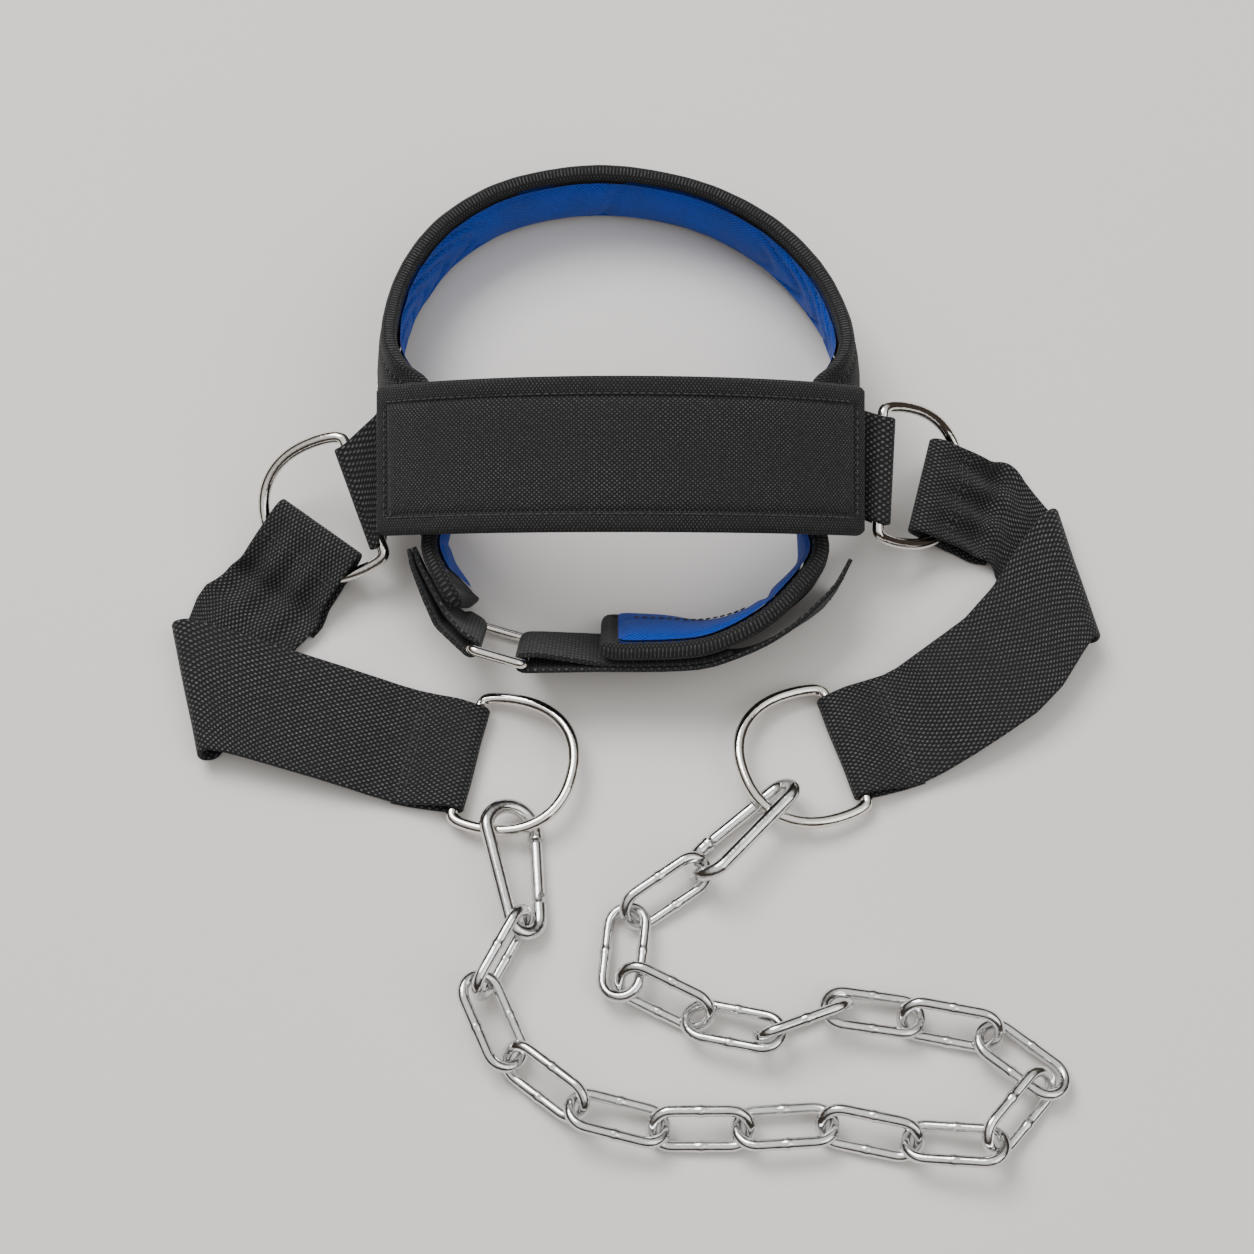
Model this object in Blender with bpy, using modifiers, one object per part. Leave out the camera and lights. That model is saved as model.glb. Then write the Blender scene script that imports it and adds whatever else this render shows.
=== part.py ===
# Neck training harness lying on the floor: a padded ring for the head with a wide front
# panel, two webbing straps between D-rings, two snap hooks and a chain of welded links.
# Metres, +Z up, the wearer's left at +X. The origin is the centre of the footprint.

import math

import bmesh
import bpy
import numpy as np
from mathutils import Matrix, Vector

# Sizes that are set by themselves
HEAD_WIDTH = 0.193          # between the front panel's two ends
CROWN_REACH = 0.142         # from the side joints back to the crown band
REAR_REACH = 0.067          # from the side joints forward to the rear band
PANEL_WIDTH = 0.060
PANEL_THICKNESS = 0.007
PANEL_BOW = 0.046           # how far the panel's middle stands off the line between its ends
PANEL_END_HEIGHT = 0.046
PANEL_TILT = 23.0           # degrees that the panel's face is turned up
CROWN_WIDTH = 0.044
CROWN_THICKNESS = 0.008
REAR_PAD_WIDTH = 0.046
REAR_PAD_THICKNESS = 0.008
LINING_THICKNESS = 0.0012
LINING_MARGIN = 0.0035      # black edge left round the blue lining
WEBBING_WIDTH = 0.048
WEBBING_THICKNESS = 0.0018
REAR_WEBBING_WIDTH = 0.038
RING_WIRE = 0.0048          # wire of the D-rings
RING_WIDTH = 0.0606         # outside, along the bar
RING_DEPTH = 0.0485         # outside, from the bar to the round side
ADJUSTER_WIRE = 0.0040
ADJUSTER_WIDTH = 0.026      # outside, along the band
SNAP_LENGTH = 0.058
SNAP_WIDTH = 0.027
SNAP_FOOT_WIDTH = 0.0186    # outside, at the narrow end
SNAP_WIRE = 0.0058
GATE_THICKNESS = 0.0052
LINK_WIRE = 0.0045
LINK_LENGTH = 0.042
LINK_WIDTH = 0.0195
STITCH_SETBACK = 0.020      # from a strap's looped end to its row of stitches
CLEARANCE = 0.0003          # between pieces that touch
JOINT_GAP = 0.0008          # between the layers sewn together under the panel's ends
JOINT_SETBACK = 0.006       # from the panel's end in to the middle of the bands under it
REAR_GAP = 0.0008           # between a rear pad and the webbing on its outside
LAYER_GAP = 0.0004          # between the two layers of a doubled strap
RING_CLEARANCE = 0.0005     # between webbing and the wire that it is looped round
LINK_GAP = 0.00045          # between links and between the end links and the snap hooks

# What follows from them
HALF_WIDTH = HEAD_WIDTH / 2
RING_BAR_HALF = RING_WIDTH / 2 - RING_WIRE / 2
LOOP_RADIUS = RING_WIRE / 2 + RING_CLEARANCE + WEBBING_THICKNESS / 2
REAR_LOOP_RADIUS = ADJUSTER_WIRE / 2 + RING_CLEARANCE + WEBBING_THICKNESS / 2
TAB_LAYERS = 2 * WEBBING_THICKNESS + LAYER_GAP
SNAP_HEAD_RADIUS = (SNAP_WIDTH - SNAP_WIRE) / 2
SNAP_FOOT_RADIUS = (SNAP_FOOT_WIDTH - SNAP_WIRE) / 2
TAB_DEPTH = PANEL_THICKNESS / 2 + JOINT_GAP + TAB_LAYERS / 2
CROWN_DEPTH = TAB_DEPTH + TAB_LAYERS / 2 + JOINT_GAP + CROWN_THICKNESS / 2
PAD_DEPTH = CROWN_DEPTH + (CROWN_THICKNESS + REAR_PAD_THICKNESS) / 2 + JOINT_GAP

# Where the loose metal lies on the floor: bar centre, direction to the round side, bar direction
UPPER_RING_LEFT = (Vector((-0.1065, 0.0450, 0.0295)), Vector((-0.90, -0.20, -0.36)),
                   Vector((0.34, -0.86, -0.37)))
UPPER_RING_RIGHT = (Vector((0.1022, 0.0524, 0.0375)), Vector((0.80, 0.14, -0.58)),
                    Vector((-0.08, -0.95, -0.29)))
LOWER_RING_LEFT = (Vector((-0.0640, -0.0590, 0.0053)), Vector((0.965, -0.22, 0.146)),
                   Vector((-0.22, -0.975, 0.0)))
LOWER_RING_RIGHT = (Vector((0.0872, -0.0540, 0.0053)), Vector((-0.936, -0.322, 0.139)),
                    Vector((0.326, -0.946, 0.0)))
# Outer end of the wide loop, direction to the narrow end, direction to the gate side
SNAP_LEFT = (Vector((-0.0465, -0.0772, 0.0084)), Vector((0.066, -0.997, 0.033)),
             Vector((0.89, 0.044, -0.454)))
SNAP_RIGHT = (Vector((0.0237, -0.1098, 0.0098)), Vector((0.774, 0.627, 0.089)),
              Vector((-0.363, 0.555, -0.748)))
# Where each chain link begins, from the left snap hook round to the right one, and its roll
CHAIN_ROUTE = [
    # x, y, height, roll in degrees
    (-0.0405, -0.1255, 0.0105, -78),
    (-0.0555, -0.1540, 0.0110, -22),
    (-0.0430, -0.1815, 0.0070, 47),
    (-0.0185, -0.2010, 0.0110, -22),
    (0.0125, -0.2080, 0.0070, 41),
    (0.0435, -0.2080, 0.0075, -20),
    (0.0755, -0.2060, 0.0070, 44),
    (0.1065, -0.2125, 0.0070, -23),
    (0.1380, -0.2155, 0.0115, 48),
    (0.1605, -0.1895, 0.0070, 17),
    (0.1375, -0.1715, 0.0065, -47),
    (0.1085, -0.1660, 0.0065, 19),
    (0.0800, -0.1625, 0.0090, 77),
    (0.0535, -0.1725, 0.0105, 17),
    (0.0260, -0.1660, 0.0065, -47),
    (-0.0015, -0.1530, 0.0095, -16),
    (0.0015, -0.1235, 0.0060, 46),
]
CHAIN_END = (0.0285, -0.1055, 0.0095, 0)
SETTLING_ROUNDS = 60        # passes that nudge the links apart where they hang in each other

# Half of the crown band, from a side joint up to the middle of the back. Shares of half the
# head's width, of the reach and of half the band's width, then the top edge's lean as shares
# of the width: outward and to the back.
CROWN_ROWS = [
    # out, back, height, lean_out, lean_back, width
    (0.955, 0.24, 1.82, -0.27, 0.07, 1.0),
    (0.985, 0.345, 1.62, -0.12, 0.02, 1.0),
    (0.96, 0.51, 1.27, -0.10, -0.02, 1.0),
    (0.88, 0.66, 1.07, -0.06, -0.07, 1.0),
    (0.725, 0.81, 1.0, -0.06, -0.11, 1.0),
    (0.49, 0.925, 1.0, -0.04, -0.16, 1.0),
    (0.25, 0.98, 1.0, -0.02, -0.18, 1.0),
]
CROWN_MIDDLE = (0.0, 1.0, 1.0, 0.0, -0.18, 1.0)
CROWN_SHIFT = -0.009        # how far the middle of the back lies to one side
REAR_LEFT_ROWS = [
    # out, back, height, lean_out, lean_back, width
    (0.78, -0.27, 1.00, -0.16, 0.03, 0.80),
    (0.775, -0.48, 0.95, 0.10, -0.06, 0.90),
    (0.70, -0.66, 0.98, 0.20, -0.18, 1.0),
    (0.64, -0.79, 0.97, 0.12, -0.42, 1.0),
]
REAR_RIGHT_ROWS = [
    (0.80, -0.26, 1.00, -0.16, 0.03, 0.80),
    (0.81, -0.52, 0.95, 0.10, -0.07, 0.90),
    (0.69, -0.74, 1.00, 0.15, -0.20, 1.0),
    (0.545, -0.91, 0.98, 0.15, -0.31, 1.0),
    (0.36, -1.00, 0.97, 0.07, -0.50, 1.0),
    (0.18, -1.00, 0.97, 0.02, -0.60, 1.0),
    (-0.083, -0.985, 0.97, 0.0, -0.65, 1.0),
]
ADJUSTER_AT = (-0.497, -1.03, 0.92)
ADJUSTER_UP = Vector((-0.02, -0.59, 0.81))
ADJUSTER_ALONG = Vector((0.97, -0.24, -0.15))
REAR_WEB_START = 12         # station of a rear pad where its webbing comes out from under the panel
HEAD_CENTRE = Vector((-0.0025, 0.0525, 0.0))
X_AXIS = Vector((1.0, 0.0, 0.0))
Z_AXIS = Vector((0.0, 0.0, 1.0))


def smooth(rows, steps):
    """Rows of numbers along an even curve through the given rows."""
    rows = [rows[0]] + list(rows) + [rows[-1]]
    out = []
    for a, b, c, d in zip(rows, rows[1:], rows[2:], rows[3:]):
        for i in range(steps):
            t = i / steps
            out.append([
                0.5 * (2 * q + (r - p) * t + (2 * p - 5 * q + 4 * r - s) * t ** 2
                       + (3 * q - p - 3 * r + s) * t ** 3)
                for p, q, r, s in zip(a, b, c, d)])
    out.append(list(rows[-1]))
    return out


def through(stations, steps):
    """Stations (centre, across) along a smooth curve through the given ones."""
    rows = [tuple(centre) + tuple(across) for centre, across in stations]
    return [(Vector(row[:3]), Vector(row[3:])) for row in smooth(rows, steps)]


def cut_corners(stations, rounds=1):
    """Stations along the given ones with each corner cut, so that the path never bulges past them."""
    for _ in range(rounds):
        out = [stations[0]]
        for (a, u), (b, v) in zip(stations, stations[1:]):
            out.append((a.lerp(b, 0.25), u.lerp(v, 0.25)))
            out.append((a.lerp(b, 0.75), u.lerp(v, 0.75)))
        stations = [out[0]] + out[2:-2] + [stations[-1]]
    return stations


def normals(stations):
    """The unit normal of a band at each station."""
    out = []
    for i, (_, across) in enumerate(stations):
        before = stations[max(i - 1, 0)][0]
        after = stations[min(i + 1, len(stations) - 1)][0]
        out.append((after - before).cross(across).normalized())
    return out


def moved(stations, distances):
    """Stations moved along their normals, by one distance or by a distance each."""
    if not isinstance(distances, list):
        distances = [distances] * len(stations)
    return [(centre + normal * distance, across)
            for (centre, across), normal, distance in zip(stations, normals(stations), distances)]


def resized(stations, width):
    """The same stations for a band of another width."""
    widest = max(across.length for _, across in stations)
    return [(centre, across * width / widest) for centre, across in stations]


def round_end(stations, radius):
    """Stations whose last end narrows to rounded corners."""
    (before, _), (last, across) = stations[-2:]
    along = (last - before).normalized()
    width = across.length
    room = (last - before).length
    out = stations[:-1]
    for share, cut in ((1.0, 0.0), (0.35, 0.25), (0.0, 1.0)):
        back = min(radius, room * 0.9) * share
        out.append((last - along * back, across * (1 - 2 * radius * cut * 0.8 / width)))
    return out


def table_stations(rows, side, reach, width):
    """Stations from a table of shares on one side of the head."""
    out = []
    for out_share, back, height, lean_out, lean_back, width_share in rows:
        shift = CROWN_SHIFT * max(back, 0.0) ** 2
        centre = HEAD_CENTRE + Vector((side * out_share * HALF_WIDTH + shift, back * reach,
                                       height * width / 2))
        up = Vector((side * lean_out, lean_back, math.sqrt(1 - lean_out ** 2 - lean_back ** 2)))
        out.append((centre, up * width * width_share))
    return out


# Materials and objects

def material(name, colour, roughness, metallic):
    made = bpy.data.materials.new(name)
    made.use_nodes = True
    shader = made.node_tree.nodes["Principled BSDF"]
    shader.inputs["Base Color"].default_value = (*colour, 1.0)
    shader.inputs["Roughness"].default_value = roughness
    shader.inputs["Metallic"].default_value = metallic
    return made


def place(name, data, look, collection):
    """A new object with its material, in the part's collection."""
    made = bpy.data.objects.new(name, data)
    data.materials.append(look)
    collection.objects.link(made)
    return made


def band(name, stations, thickness, look, collection, rows_across=1, bevel=0.0, ripple=None):
    """A strip of cloth: a closed slab of the given thickness bent along its stations."""
    steps = len(stations) - 1
    mesh = bmesh.new()
    bmesh.ops.create_grid(mesh, x_segments=steps, y_segments=rows_across, size=0.5)
    raised = bmesh.ops.extrude_face_region(mesh, geom=mesh.faces[:])["geom"]
    for item in raised:
        if isinstance(item, bmesh.types.BMVert):
            item.co.z = 1.0
    bmesh.ops.recalc_face_normals(mesh, faces=mesh.faces[:])
    facing = normals(stations)
    for vert in mesh.verts:
        index = round((vert.co.x + 0.5) * steps)
        side = vert.co.y
        centre, across = stations[index]
        lift = (vert.co.z - 0.5) * thickness
        if ripple:
            lift += ripple(index, side)
        vert.co = centre + across * side + facing[index] * lift
    data = bpy.data.meshes.new(name)
    mesh.to_mesh(data)
    mesh.free()
    made = place(name, data, look, collection)
    if bevel:
        rounding = made.modifiers.new("Rolled edge", "BEVEL")
        rounding.width = bevel
        rounding.segments = 2
        rounding.limit_method = "ANGLE"
        rounding.angle_limit = math.radians(50)
    return made


def wire(name, points, thickness, sides, look, collection, closed=True):
    """A round wire along points, with a number of sides that is even."""
    data = bpy.data.curves.new(name, "CURVE")
    data.dimensions = "3D"
    data.bevel_depth = thickness / 2
    data.bevel_resolution = sides // 2 - 2
    data.use_fill_caps = not closed
    line = data.splines.new("POLY")
    line.points.add(len(points) - 1)
    for point, at in zip(line.points, points):
        point.co = (*at, 1.0)
    line.use_cyclic_u = closed
    return place(name, data, look, collection)


def frame_matrix(origin, along, across):
    """A turned frame at origin: X along, Y nearly across, Z square to both."""
    x = along.normalized()
    y = (across - across.dot(x) * x).normalized()
    z = x.cross(y)
    turn = Matrix((x, y, z)).transposed()
    return Matrix.Translation(origin) @ turn.to_4x4()


def put(made, matrix):
    made.location = matrix.to_translation()
    made.rotation_euler = matrix.to_euler()
    return made


# The padded ring

def side_joint(side):
    """The panel's end on one side: its middle, and directions down the panel, out and back."""
    radius = (HALF_WIDTH ** 2 + PANEL_BOW ** 2) / (2 * PANEL_BOW)
    half = math.asin(HALF_WIDTH / radius)
    tilt = math.radians(PANEL_TILT)
    bulge = Vector((0.0, -math.sin(tilt), math.cos(tilt)))
    end = HEAD_CENTRE + X_AXIS * side * HALF_WIDTH + Z_AXIS * PANEL_END_HEIGHT
    down = X_AXIS * side * math.cos(half) - bulge * math.sin(half)
    out = X_AXIS * side * math.sin(half) + bulge * math.cos(half)
    back = Z_AXIS.cross(out).normalized()
    if back.y < 0:
        back = -back
    return end, down, out, back


def joint_station(side, depth, along, width):
    """A station in the flat of a side joint, at a depth under the panel's middle layer."""
    end, down, out, back = side_joint(side)
    up = out.cross(back).normalized()
    if up.z < 0:
        up = -up
    return end - down * JOINT_SETBACK - out * depth + back * along, up * width


def panel_stations():
    radius = (HALF_WIDTH ** 2 + PANEL_BOW ** 2) / (2 * PANEL_BOW)
    half = math.asin(HALF_WIDTH / radius)
    tilt = math.radians(PANEL_TILT)
    bulge = Vector((0.0, -math.sin(tilt), math.cos(tilt)))
    across = Vector((0.0, math.cos(tilt), math.sin(tilt))) * PANEL_WIDTH
    foot = HEAD_CENTRE + Z_AXIS * PANEL_END_HEIGHT + bulge * (PANEL_BOW - radius)
    out = []
    for i in range(25):
        angle = half * (i / 12 - 1)
        centre = foot + X_AXIS * radius * math.sin(angle) + bulge * radius * math.cos(angle)
        out.append((centre, across))
    return out


def crown_stations():
    def half(side):
        flat = [joint_station(side, CROWN_DEPTH, along, CROWN_WIDTH) for along in (0.002, 0.012, 0.027)]
        return flat + table_stations(CROWN_ROWS, side, CROWN_REACH, CROWN_WIDTH)
    middle = table_stations([CROWN_MIDDLE], 1, CROWN_REACH, CROWN_WIDTH)
    return through(half(-1) + middle + half(1)[::-1], 2)


def pad_stations(side, rows):
    width = REAR_PAD_WIDTH * rows[0][-1]
    flat = [joint_station(side, PAD_DEPTH, along, width) for along in (0.014, 0.0, -0.006)]
    return through(flat + table_stations(rows, side, REAR_REACH, REAR_PAD_WIDTH), 3)


def around(bar, start, turn, across, radius, steps=6):
    """Stations half way round a bar, from its start side past its turn side."""
    out = []
    for i in range(steps + 1):
        angle = math.pi * i / steps
        out.append((bar + (start * math.cos(angle) + turn * math.sin(angle)) * radius, across))
    return out


def build_ring_band(looks, collection):
    black, canvas, blue, chrome = looks
    band("front_panel", panel_stations(), PANEL_THICKNESS, canvas, collection, bevel=0.003)
    crown = crown_stations()
    band("crown_band", crown, CROWN_THICKNESS, canvas, collection, bevel=0.003)
    inside = CROWN_THICKNESS / 2 + CLEARANCE + LINING_THICKNESS / 2
    lining = resized(moved(crown, inside), CROWN_WIDTH - 2 * LINING_MARGIN)
    band("crown_lining", lining[5:-5], LINING_THICKNESS, blue, collection)
    for label, side, rows in (("left", -1, REAR_LEFT_ROWS), ("right", 1, REAR_RIGHT_ROWS)):
        pad = pad_stations(side, rows)
        inward = side * (REAR_PAD_THICKNESS / 2 + JOINT_GAP + LINING_THICKNESS / 2)
        inner = resized(moved(pad, inward), REAR_PAD_WIDTH - 2 * LINING_MARGIN)
        inner = inner[8:-1] if side > 0 else inner[8:-3]
        band("rear_lining_" + label, inner, LINING_THICKNESS, blue, collection)
        band("rear_pad_" + label, round_end(pad, 0.008), REAR_PAD_THICKNESS, canvas, collection,
             bevel=0.003)
    build_adjuster(black, chrome, collection)


def build_adjuster(black, chrome, collection):
    """The ring between the two rear pads and the webbing doubled through it from each side."""
    x, y, z = ADJUSTER_AT
    centre = HEAD_CENTRE + Vector((x * HALF_WIDTH, y * REAR_REACH, z * REAR_PAD_WIDTH / 2))
    place_at = frame_matrix(centre, ADJUSTER_UP, ADJUSTER_ALONG)
    up = place_at.to_3x3().col[0]
    along = place_at.to_3x3().col[1]
    inward = along.cross(up)
    if inward.y < 0:
        inward = -inward
    half_high = (REAR_WEBBING_WIDTH + ADJUSTER_WIRE) / 2 + RING_CLEARANCE
    half_wide = (ADJUSTER_WIDTH - ADJUSTER_WIRE) / 2
    corner = ADJUSTER_WIRE * 0.6
    points = []
    for sx, sy, first in ((1, 1, 0), (-1, 1, 90), (-1, -1, 180), (1, -1, 270)):
        for i in range(4):
            angle = math.radians(first + 30 * i)
            points.append((sx * (half_high - corner) + corner * math.cos(angle),
                           sy * (half_wide - corner) + corner * math.sin(angle), 0.0))
    put(wire("adjuster_ring", points, ADJUSTER_WIRE, 8, chrome, collection), place_at)
    first = REAR_PAD_THICKNESS / 2 + REAR_GAP + WEBBING_THICKNESS / 2
    second = first + WEBBING_THICKNESS + LAYER_GAP
    across = up * REAR_WEBBING_WIDTH
    for label, side, rows in (("left", -1, REAR_LEFT_ROWS), ("right", 1, REAR_RIGHT_ROWS)):
        pad = [(at, up_there.normalized() * REAR_WEBBING_WIDTH) for at, up_there in pad_stations(side, rows)]
        bar = centre + along * side * half_wide
        turn = around(bar, inward, -along * side, across, REAR_LOOP_RADIUS)
        sewn = REAR_WEB_START if side < 0 else len(pad) - 8
        near = moved(pad, -side * first)[sewn:]
        near.append((bar + inward * (REAR_LOOP_RADIUS + 0.0012) + along * side * 0.004, across))
        last = len(pad) - 1
        if side < 0:
            stand_off = [0.0035 * max(i - REAR_WEB_START, 0) / (last - REAR_WEB_START) for i in range(last + 1)]
        else:
            stand_off = [0.004 * min(1.0, max(0.0, 1 - (i - REAR_WEB_START) / 8)) for i in range(last + 1)]
        far = moved(pad, [-side * (second + extra) for extra in stand_off])[REAR_WEB_START:]
        outer_gap = through([turn[-1], far[-1]], 3)[1:-1]
        path = near + turn + outer_gap + far[::-1]
        band("rear_web_" + label, round_end(path, 0.010), WEBBING_THICKNESS, black, collection)


# D-rings, tabs and the two long straps

def ring_point(angle):
    """A point of a D-ring's round side in its own plane, at an angle from straight out."""
    a = (RING_DEPTH - RING_WIRE) * 0.685
    centre = RING_DEPTH - RING_WIRE - a
    power = 2 / 2.25
    c, s = math.cos(angle), math.sin(angle)
    return (centre + a * math.copysign(abs(c) ** power, c),
            RING_BAR_HALF * math.copysign(abs(s) ** power, s))


def ring_outline():
    points = []
    for i in range(21):
        x, y = ring_point(math.radians(-118 + 236 * i / 20))
        if x > 0.0012:
            points.append((x, y, 0.0))
    half = points[-1][1]
    points.append((0.0, half - 0.002, 0.0))
    points.append((0.0, -half + 0.002, 0.0))
    return points


def build_tab(label, side, ring, look, collection):
    """A doubled tab sewn under the panel's end, looped round an upper D-ring's bar."""
    bar = ring[0]
    axis = frame_matrix(*ring).to_3x3().col[1]
    point, down, out, _ = side_joint(side)
    tilt = math.radians(PANEL_TILT)
    flat = Vector((0.0, math.cos(tilt), math.sin(tilt)))
    width = min(WEBBING_WIDTH, 2 * ring_point(math.radians(118))[1] - RING_WIRE - 4 * RING_CLEARANCE)
    along_bar = -axis * width
    root = point - down * 0.004 - out * TAB_DEPTH
    lip = point + down * 0.006 - out * TAB_DEPTH
    outward = bar - lip
    outward = (outward - outward.dot(axis) * axis).normalized()
    lift = along_bar.cross(outward).normalized()
    if lift.z < 0:
        lift = -lift
    turn = around(bar, lift, outward, along_bar, LOOP_RADIUS + RING_CLEARANCE)
    step = (WEBBING_THICKNESS + LAYER_GAP) / 2
    upper = [(root + out * step, flat * width), (lip + out * step, flat * width)]
    lower = [(root - out * step, flat * width), (lip - out * step, flat * width)]
    path = upper[:1] + through([upper[1], turn[0]], 3)[:-1] + turn
    path += through([turn[-1], lower[1]], 3)[1:] + lower[:1]
    band("side_tab_" + label, path, WEBBING_THICKNESS, look, collection)


def build_strap(label, upper, lower, tunnel, rows, look, collection):
    """One long strap: looped and gathered on an upper D-ring, folded over, looped on a lower bar."""
    bar, out_axis, bar_axis = upper
    place_at = frame_matrix(bar, out_axis, bar_axis)
    x, y, z = (place_at.to_3x3().col[i].copy() for i in range(3))
    if z.z < 0:
        z = -z
    turn, setback = tunnel
    u = x * math.cos(turn) + y * math.sin(turn)
    v = -x * math.sin(turn) + y * math.cos(turn)
    a = (RING_DEPTH - RING_WIRE) * 0.685
    hub = bar + x * (RING_DEPTH - RING_WIRE - a)
    gathered = v * WEBBING_WIDTH * 0.84
    loop_at = hub + u * setback
    loop = around(loop_at, -z, -u, gathered, LOOP_RADIUS)
    depth = a - setback + RING_WIRE / 2 + 0.001
    head_plan = Vector((u.x, u.y, 0.0)).normalized()
    deep = loop_at + u * depth
    tip_across = Vector((v.x, v.y, 0.0)).normalized() * WEBBING_WIDTH * 0.95
    floor = WEBBING_THICKNESS / 2
    step = WEBBING_THICKNESS + LAYER_GAP

    def at_floor(distance, height):
        point = deep + head_plan * distance
        return Vector((point.x, point.y, height))

    past = deep + u * 0.003
    back = [(at_floor(0.015, floor), tip_across), (at_floor(0.009, floor + 0.0003), tip_across),
            (past - z * LOOP_RADIUS * 0.8, gathered), (deep - z * LOOP_RADIUS, gathered)]
    top = [(deep + z * LOOP_RADIUS, gathered), (past + z * LOOP_RADIUS * 0.9, gathered),
           (at_floor(0.009, floor + step + 0.0012), tip_across), (at_floor(0.016, floor + step), tip_across)]
    run = []
    for px, py, height, heading, stretch in rows:
        angle = math.radians(heading)
        run.append((Vector((px, py, height)),
                    Vector((math.cos(angle), math.sin(angle), 0.0)) * WEBBING_WIDTH * stretch))
    low_bar, low_out, low_axis = lower
    low_at = frame_matrix(low_bar, low_out, low_axis)
    lx, ly, lz = (low_at.to_3x3().col[i].copy() for i in range(3))
    if lz.z < 0:
        lz = -lz
    axis = ly if ly.y < 0 else -ly
    end_width = min(WEBBING_WIDTH, 2 * ring_point(math.radians(118))[1] - 0.006)
    end_across = axis * end_width
    turn_low = around(low_bar, lz, lx, end_across, LOOP_RADIUS)
    away = -Vector((lx.x, lx.y, 0.0)).normalized()
    full = axis * WEBBING_WIDTH

    def behind(distance, height, across=full):
        point = low_bar + away * distance
        return Vector((point.x, point.y, height)), across

    stitch = STITCH_SETBACK
    narrowed = axis * (end_width + WEBBING_WIDTH) / 2
    top_end = [behind(stitch + 0.008, 0.0046), behind(stitch - 0.004, 0.0050),
               behind(0.008, low_bar.z + LOOP_RADIUS * 0.85, narrowed)]
    back_end = [behind(0.008, low_bar.z - LOOP_RADIUS, narrowed),
                behind(stitch - 0.004, 0.0050 - step), behind(stitch + 0.005, 0.0046 - step)]
    middle = cut_corners(top + run + top_end)
    path = back + loop + middle + turn_low + back_end
    first = len(back) + 3
    span = 10
    outside = 1 if normals(path)[first + 4].dot(z) > 0 else -1

    def ripple(index, side):
        near = max(0.0, 1 - abs(index - first - 4) / span) if index > first else 0.0
        return outside * 0.0012 * near * (1 - math.cos(2 * math.pi * 3 * side))

    band("strap_" + label, path, WEBBING_THICKNESS, look, collection, rows_across=4, ripple=ripple)


LEFT_RUN = [
    # x, y, height, heading of the width, stretch of the width
    (-0.1560, 0.0010, 0.0013, -40, 1.0),
    (-0.1712, -0.0294, 0.0012, -72, 1.22),
    (-0.1755, -0.0306, 0.0032, -75, 1.24),
    (-0.1770, -0.0310, 0.0078, -76, 1.24),
    (-0.1755, -0.0306, 0.0124, -77, 1.22),
    (-0.1700, -0.0300, 0.0144, -80, 1.18),
    (-0.1400, -0.0395, 0.0135, -96, 1.03),
    (-0.1100, -0.0480, 0.0100, -103, 1.0),
]
RIGHT_RUN = [
    (0.1590, 0.0400, 0.0014, -108, 1.0),
    (0.1750, 0.0230, 0.0013, -92, 1.15),
    (0.1815, 0.0200, 0.0036, -80, 1.25),
    (0.1840, 0.0195, 0.0090, -77, 1.25),
    (0.1815, 0.0190, 0.0144, -74, 1.22),
    (0.1750, 0.0120, 0.0168, -66, 1.12),
    (0.1560, -0.0180, 0.0150, -56, 1.02),
    (0.1300, -0.0360, 0.0110, -57, 1.0),
]
LEFT_TUNNEL = (math.radians(36), 0.0135)
RIGHT_TUNNEL = (math.radians(14), 0.0135)


# Snap hooks

def snap_path():
    """Middle line of a snap hook's wire: X toward the narrow end, Y toward the gate side."""
    head = Vector((SNAP_HEAD_RADIUS + SNAP_WIRE / 2, 0.0, 0.0))
    foot = Vector((SNAP_LENGTH - SNAP_FOOT_RADIUS - SNAP_WIRE / 2, SNAP_HEAD_RADIUS - SNAP_FOOT_RADIUS, 0.0))
    points = [Vector((hinge_place() + GATE_THICKNESS / 2 + CLEARANCE, SNAP_HEAD_RADIUS, 0.0))]
    for i in range(9):
        angle = math.radians(90 - 22 * i)
        points.append(foot + Vector((math.cos(angle), math.sin(angle), 0.0)) * SNAP_FOOT_RADIUS)
    for i in range(12):
        angle = math.radians(-100 - 170 * i / 11)
        points.append(head + Vector((math.cos(angle), math.sin(angle), 0.0)) * SNAP_HEAD_RADIUS)
    points.append(Vector((nose_place(), SNAP_HEAD_RADIUS, 0.0)))
    return points


def hinge_place():
    return SNAP_LENGTH - SNAP_FOOT_WIDTH * 0.97


def nose_place():
    return SNAP_WIDTH * 0.60


def build_snap(label, frame, look, collection):
    """A snap hook's body, and its gate with the origin on the hinge."""
    tip, down, gate_side = frame
    at = frame_matrix(tip, down, gate_side)
    body = wire("snap_body_" + label, snap_path(), SNAP_WIRE, 8, look, collection, closed=False)
    put(body, at)
    length = hinge_place() - nose_place() - CLEARANCE
    radius = GATE_THICKNESS / 2
    profile = bpy.data.meshes.new("snap_gate_" + label)
    line = [(radius * math.sin(math.radians(a)), radius * math.cos(math.radians(a))) for a in (0, 30, 60, 90)]
    line += [(radius, -length + 0.0008), (radius - 0.0008, -length), (0.0, -length)]
    profile.from_pydata([(r, 0.0, h) for r, h in line], [(i, i + 1) for i in range(len(line) - 1)], [])
    gate = place("snap_gate_" + label, profile, look, collection)
    turned = gate.modifiers.new("Turned", "SCREW")
    turned.axis = "Z"
    turned.steps = turned.render_steps = 10
    turned.use_merge_vertices = True
    turned.merge_threshold = 0.00002
    hinge = at @ Vector((hinge_place(), SNAP_HEAD_RADIUS, 0.0))
    turn = at.to_3x3().to_4x4() @ Matrix.Rotation(math.radians(90), 4, "Y")
    put(gate, Matrix.Translation(hinge) @ turn)


# Chain

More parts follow.
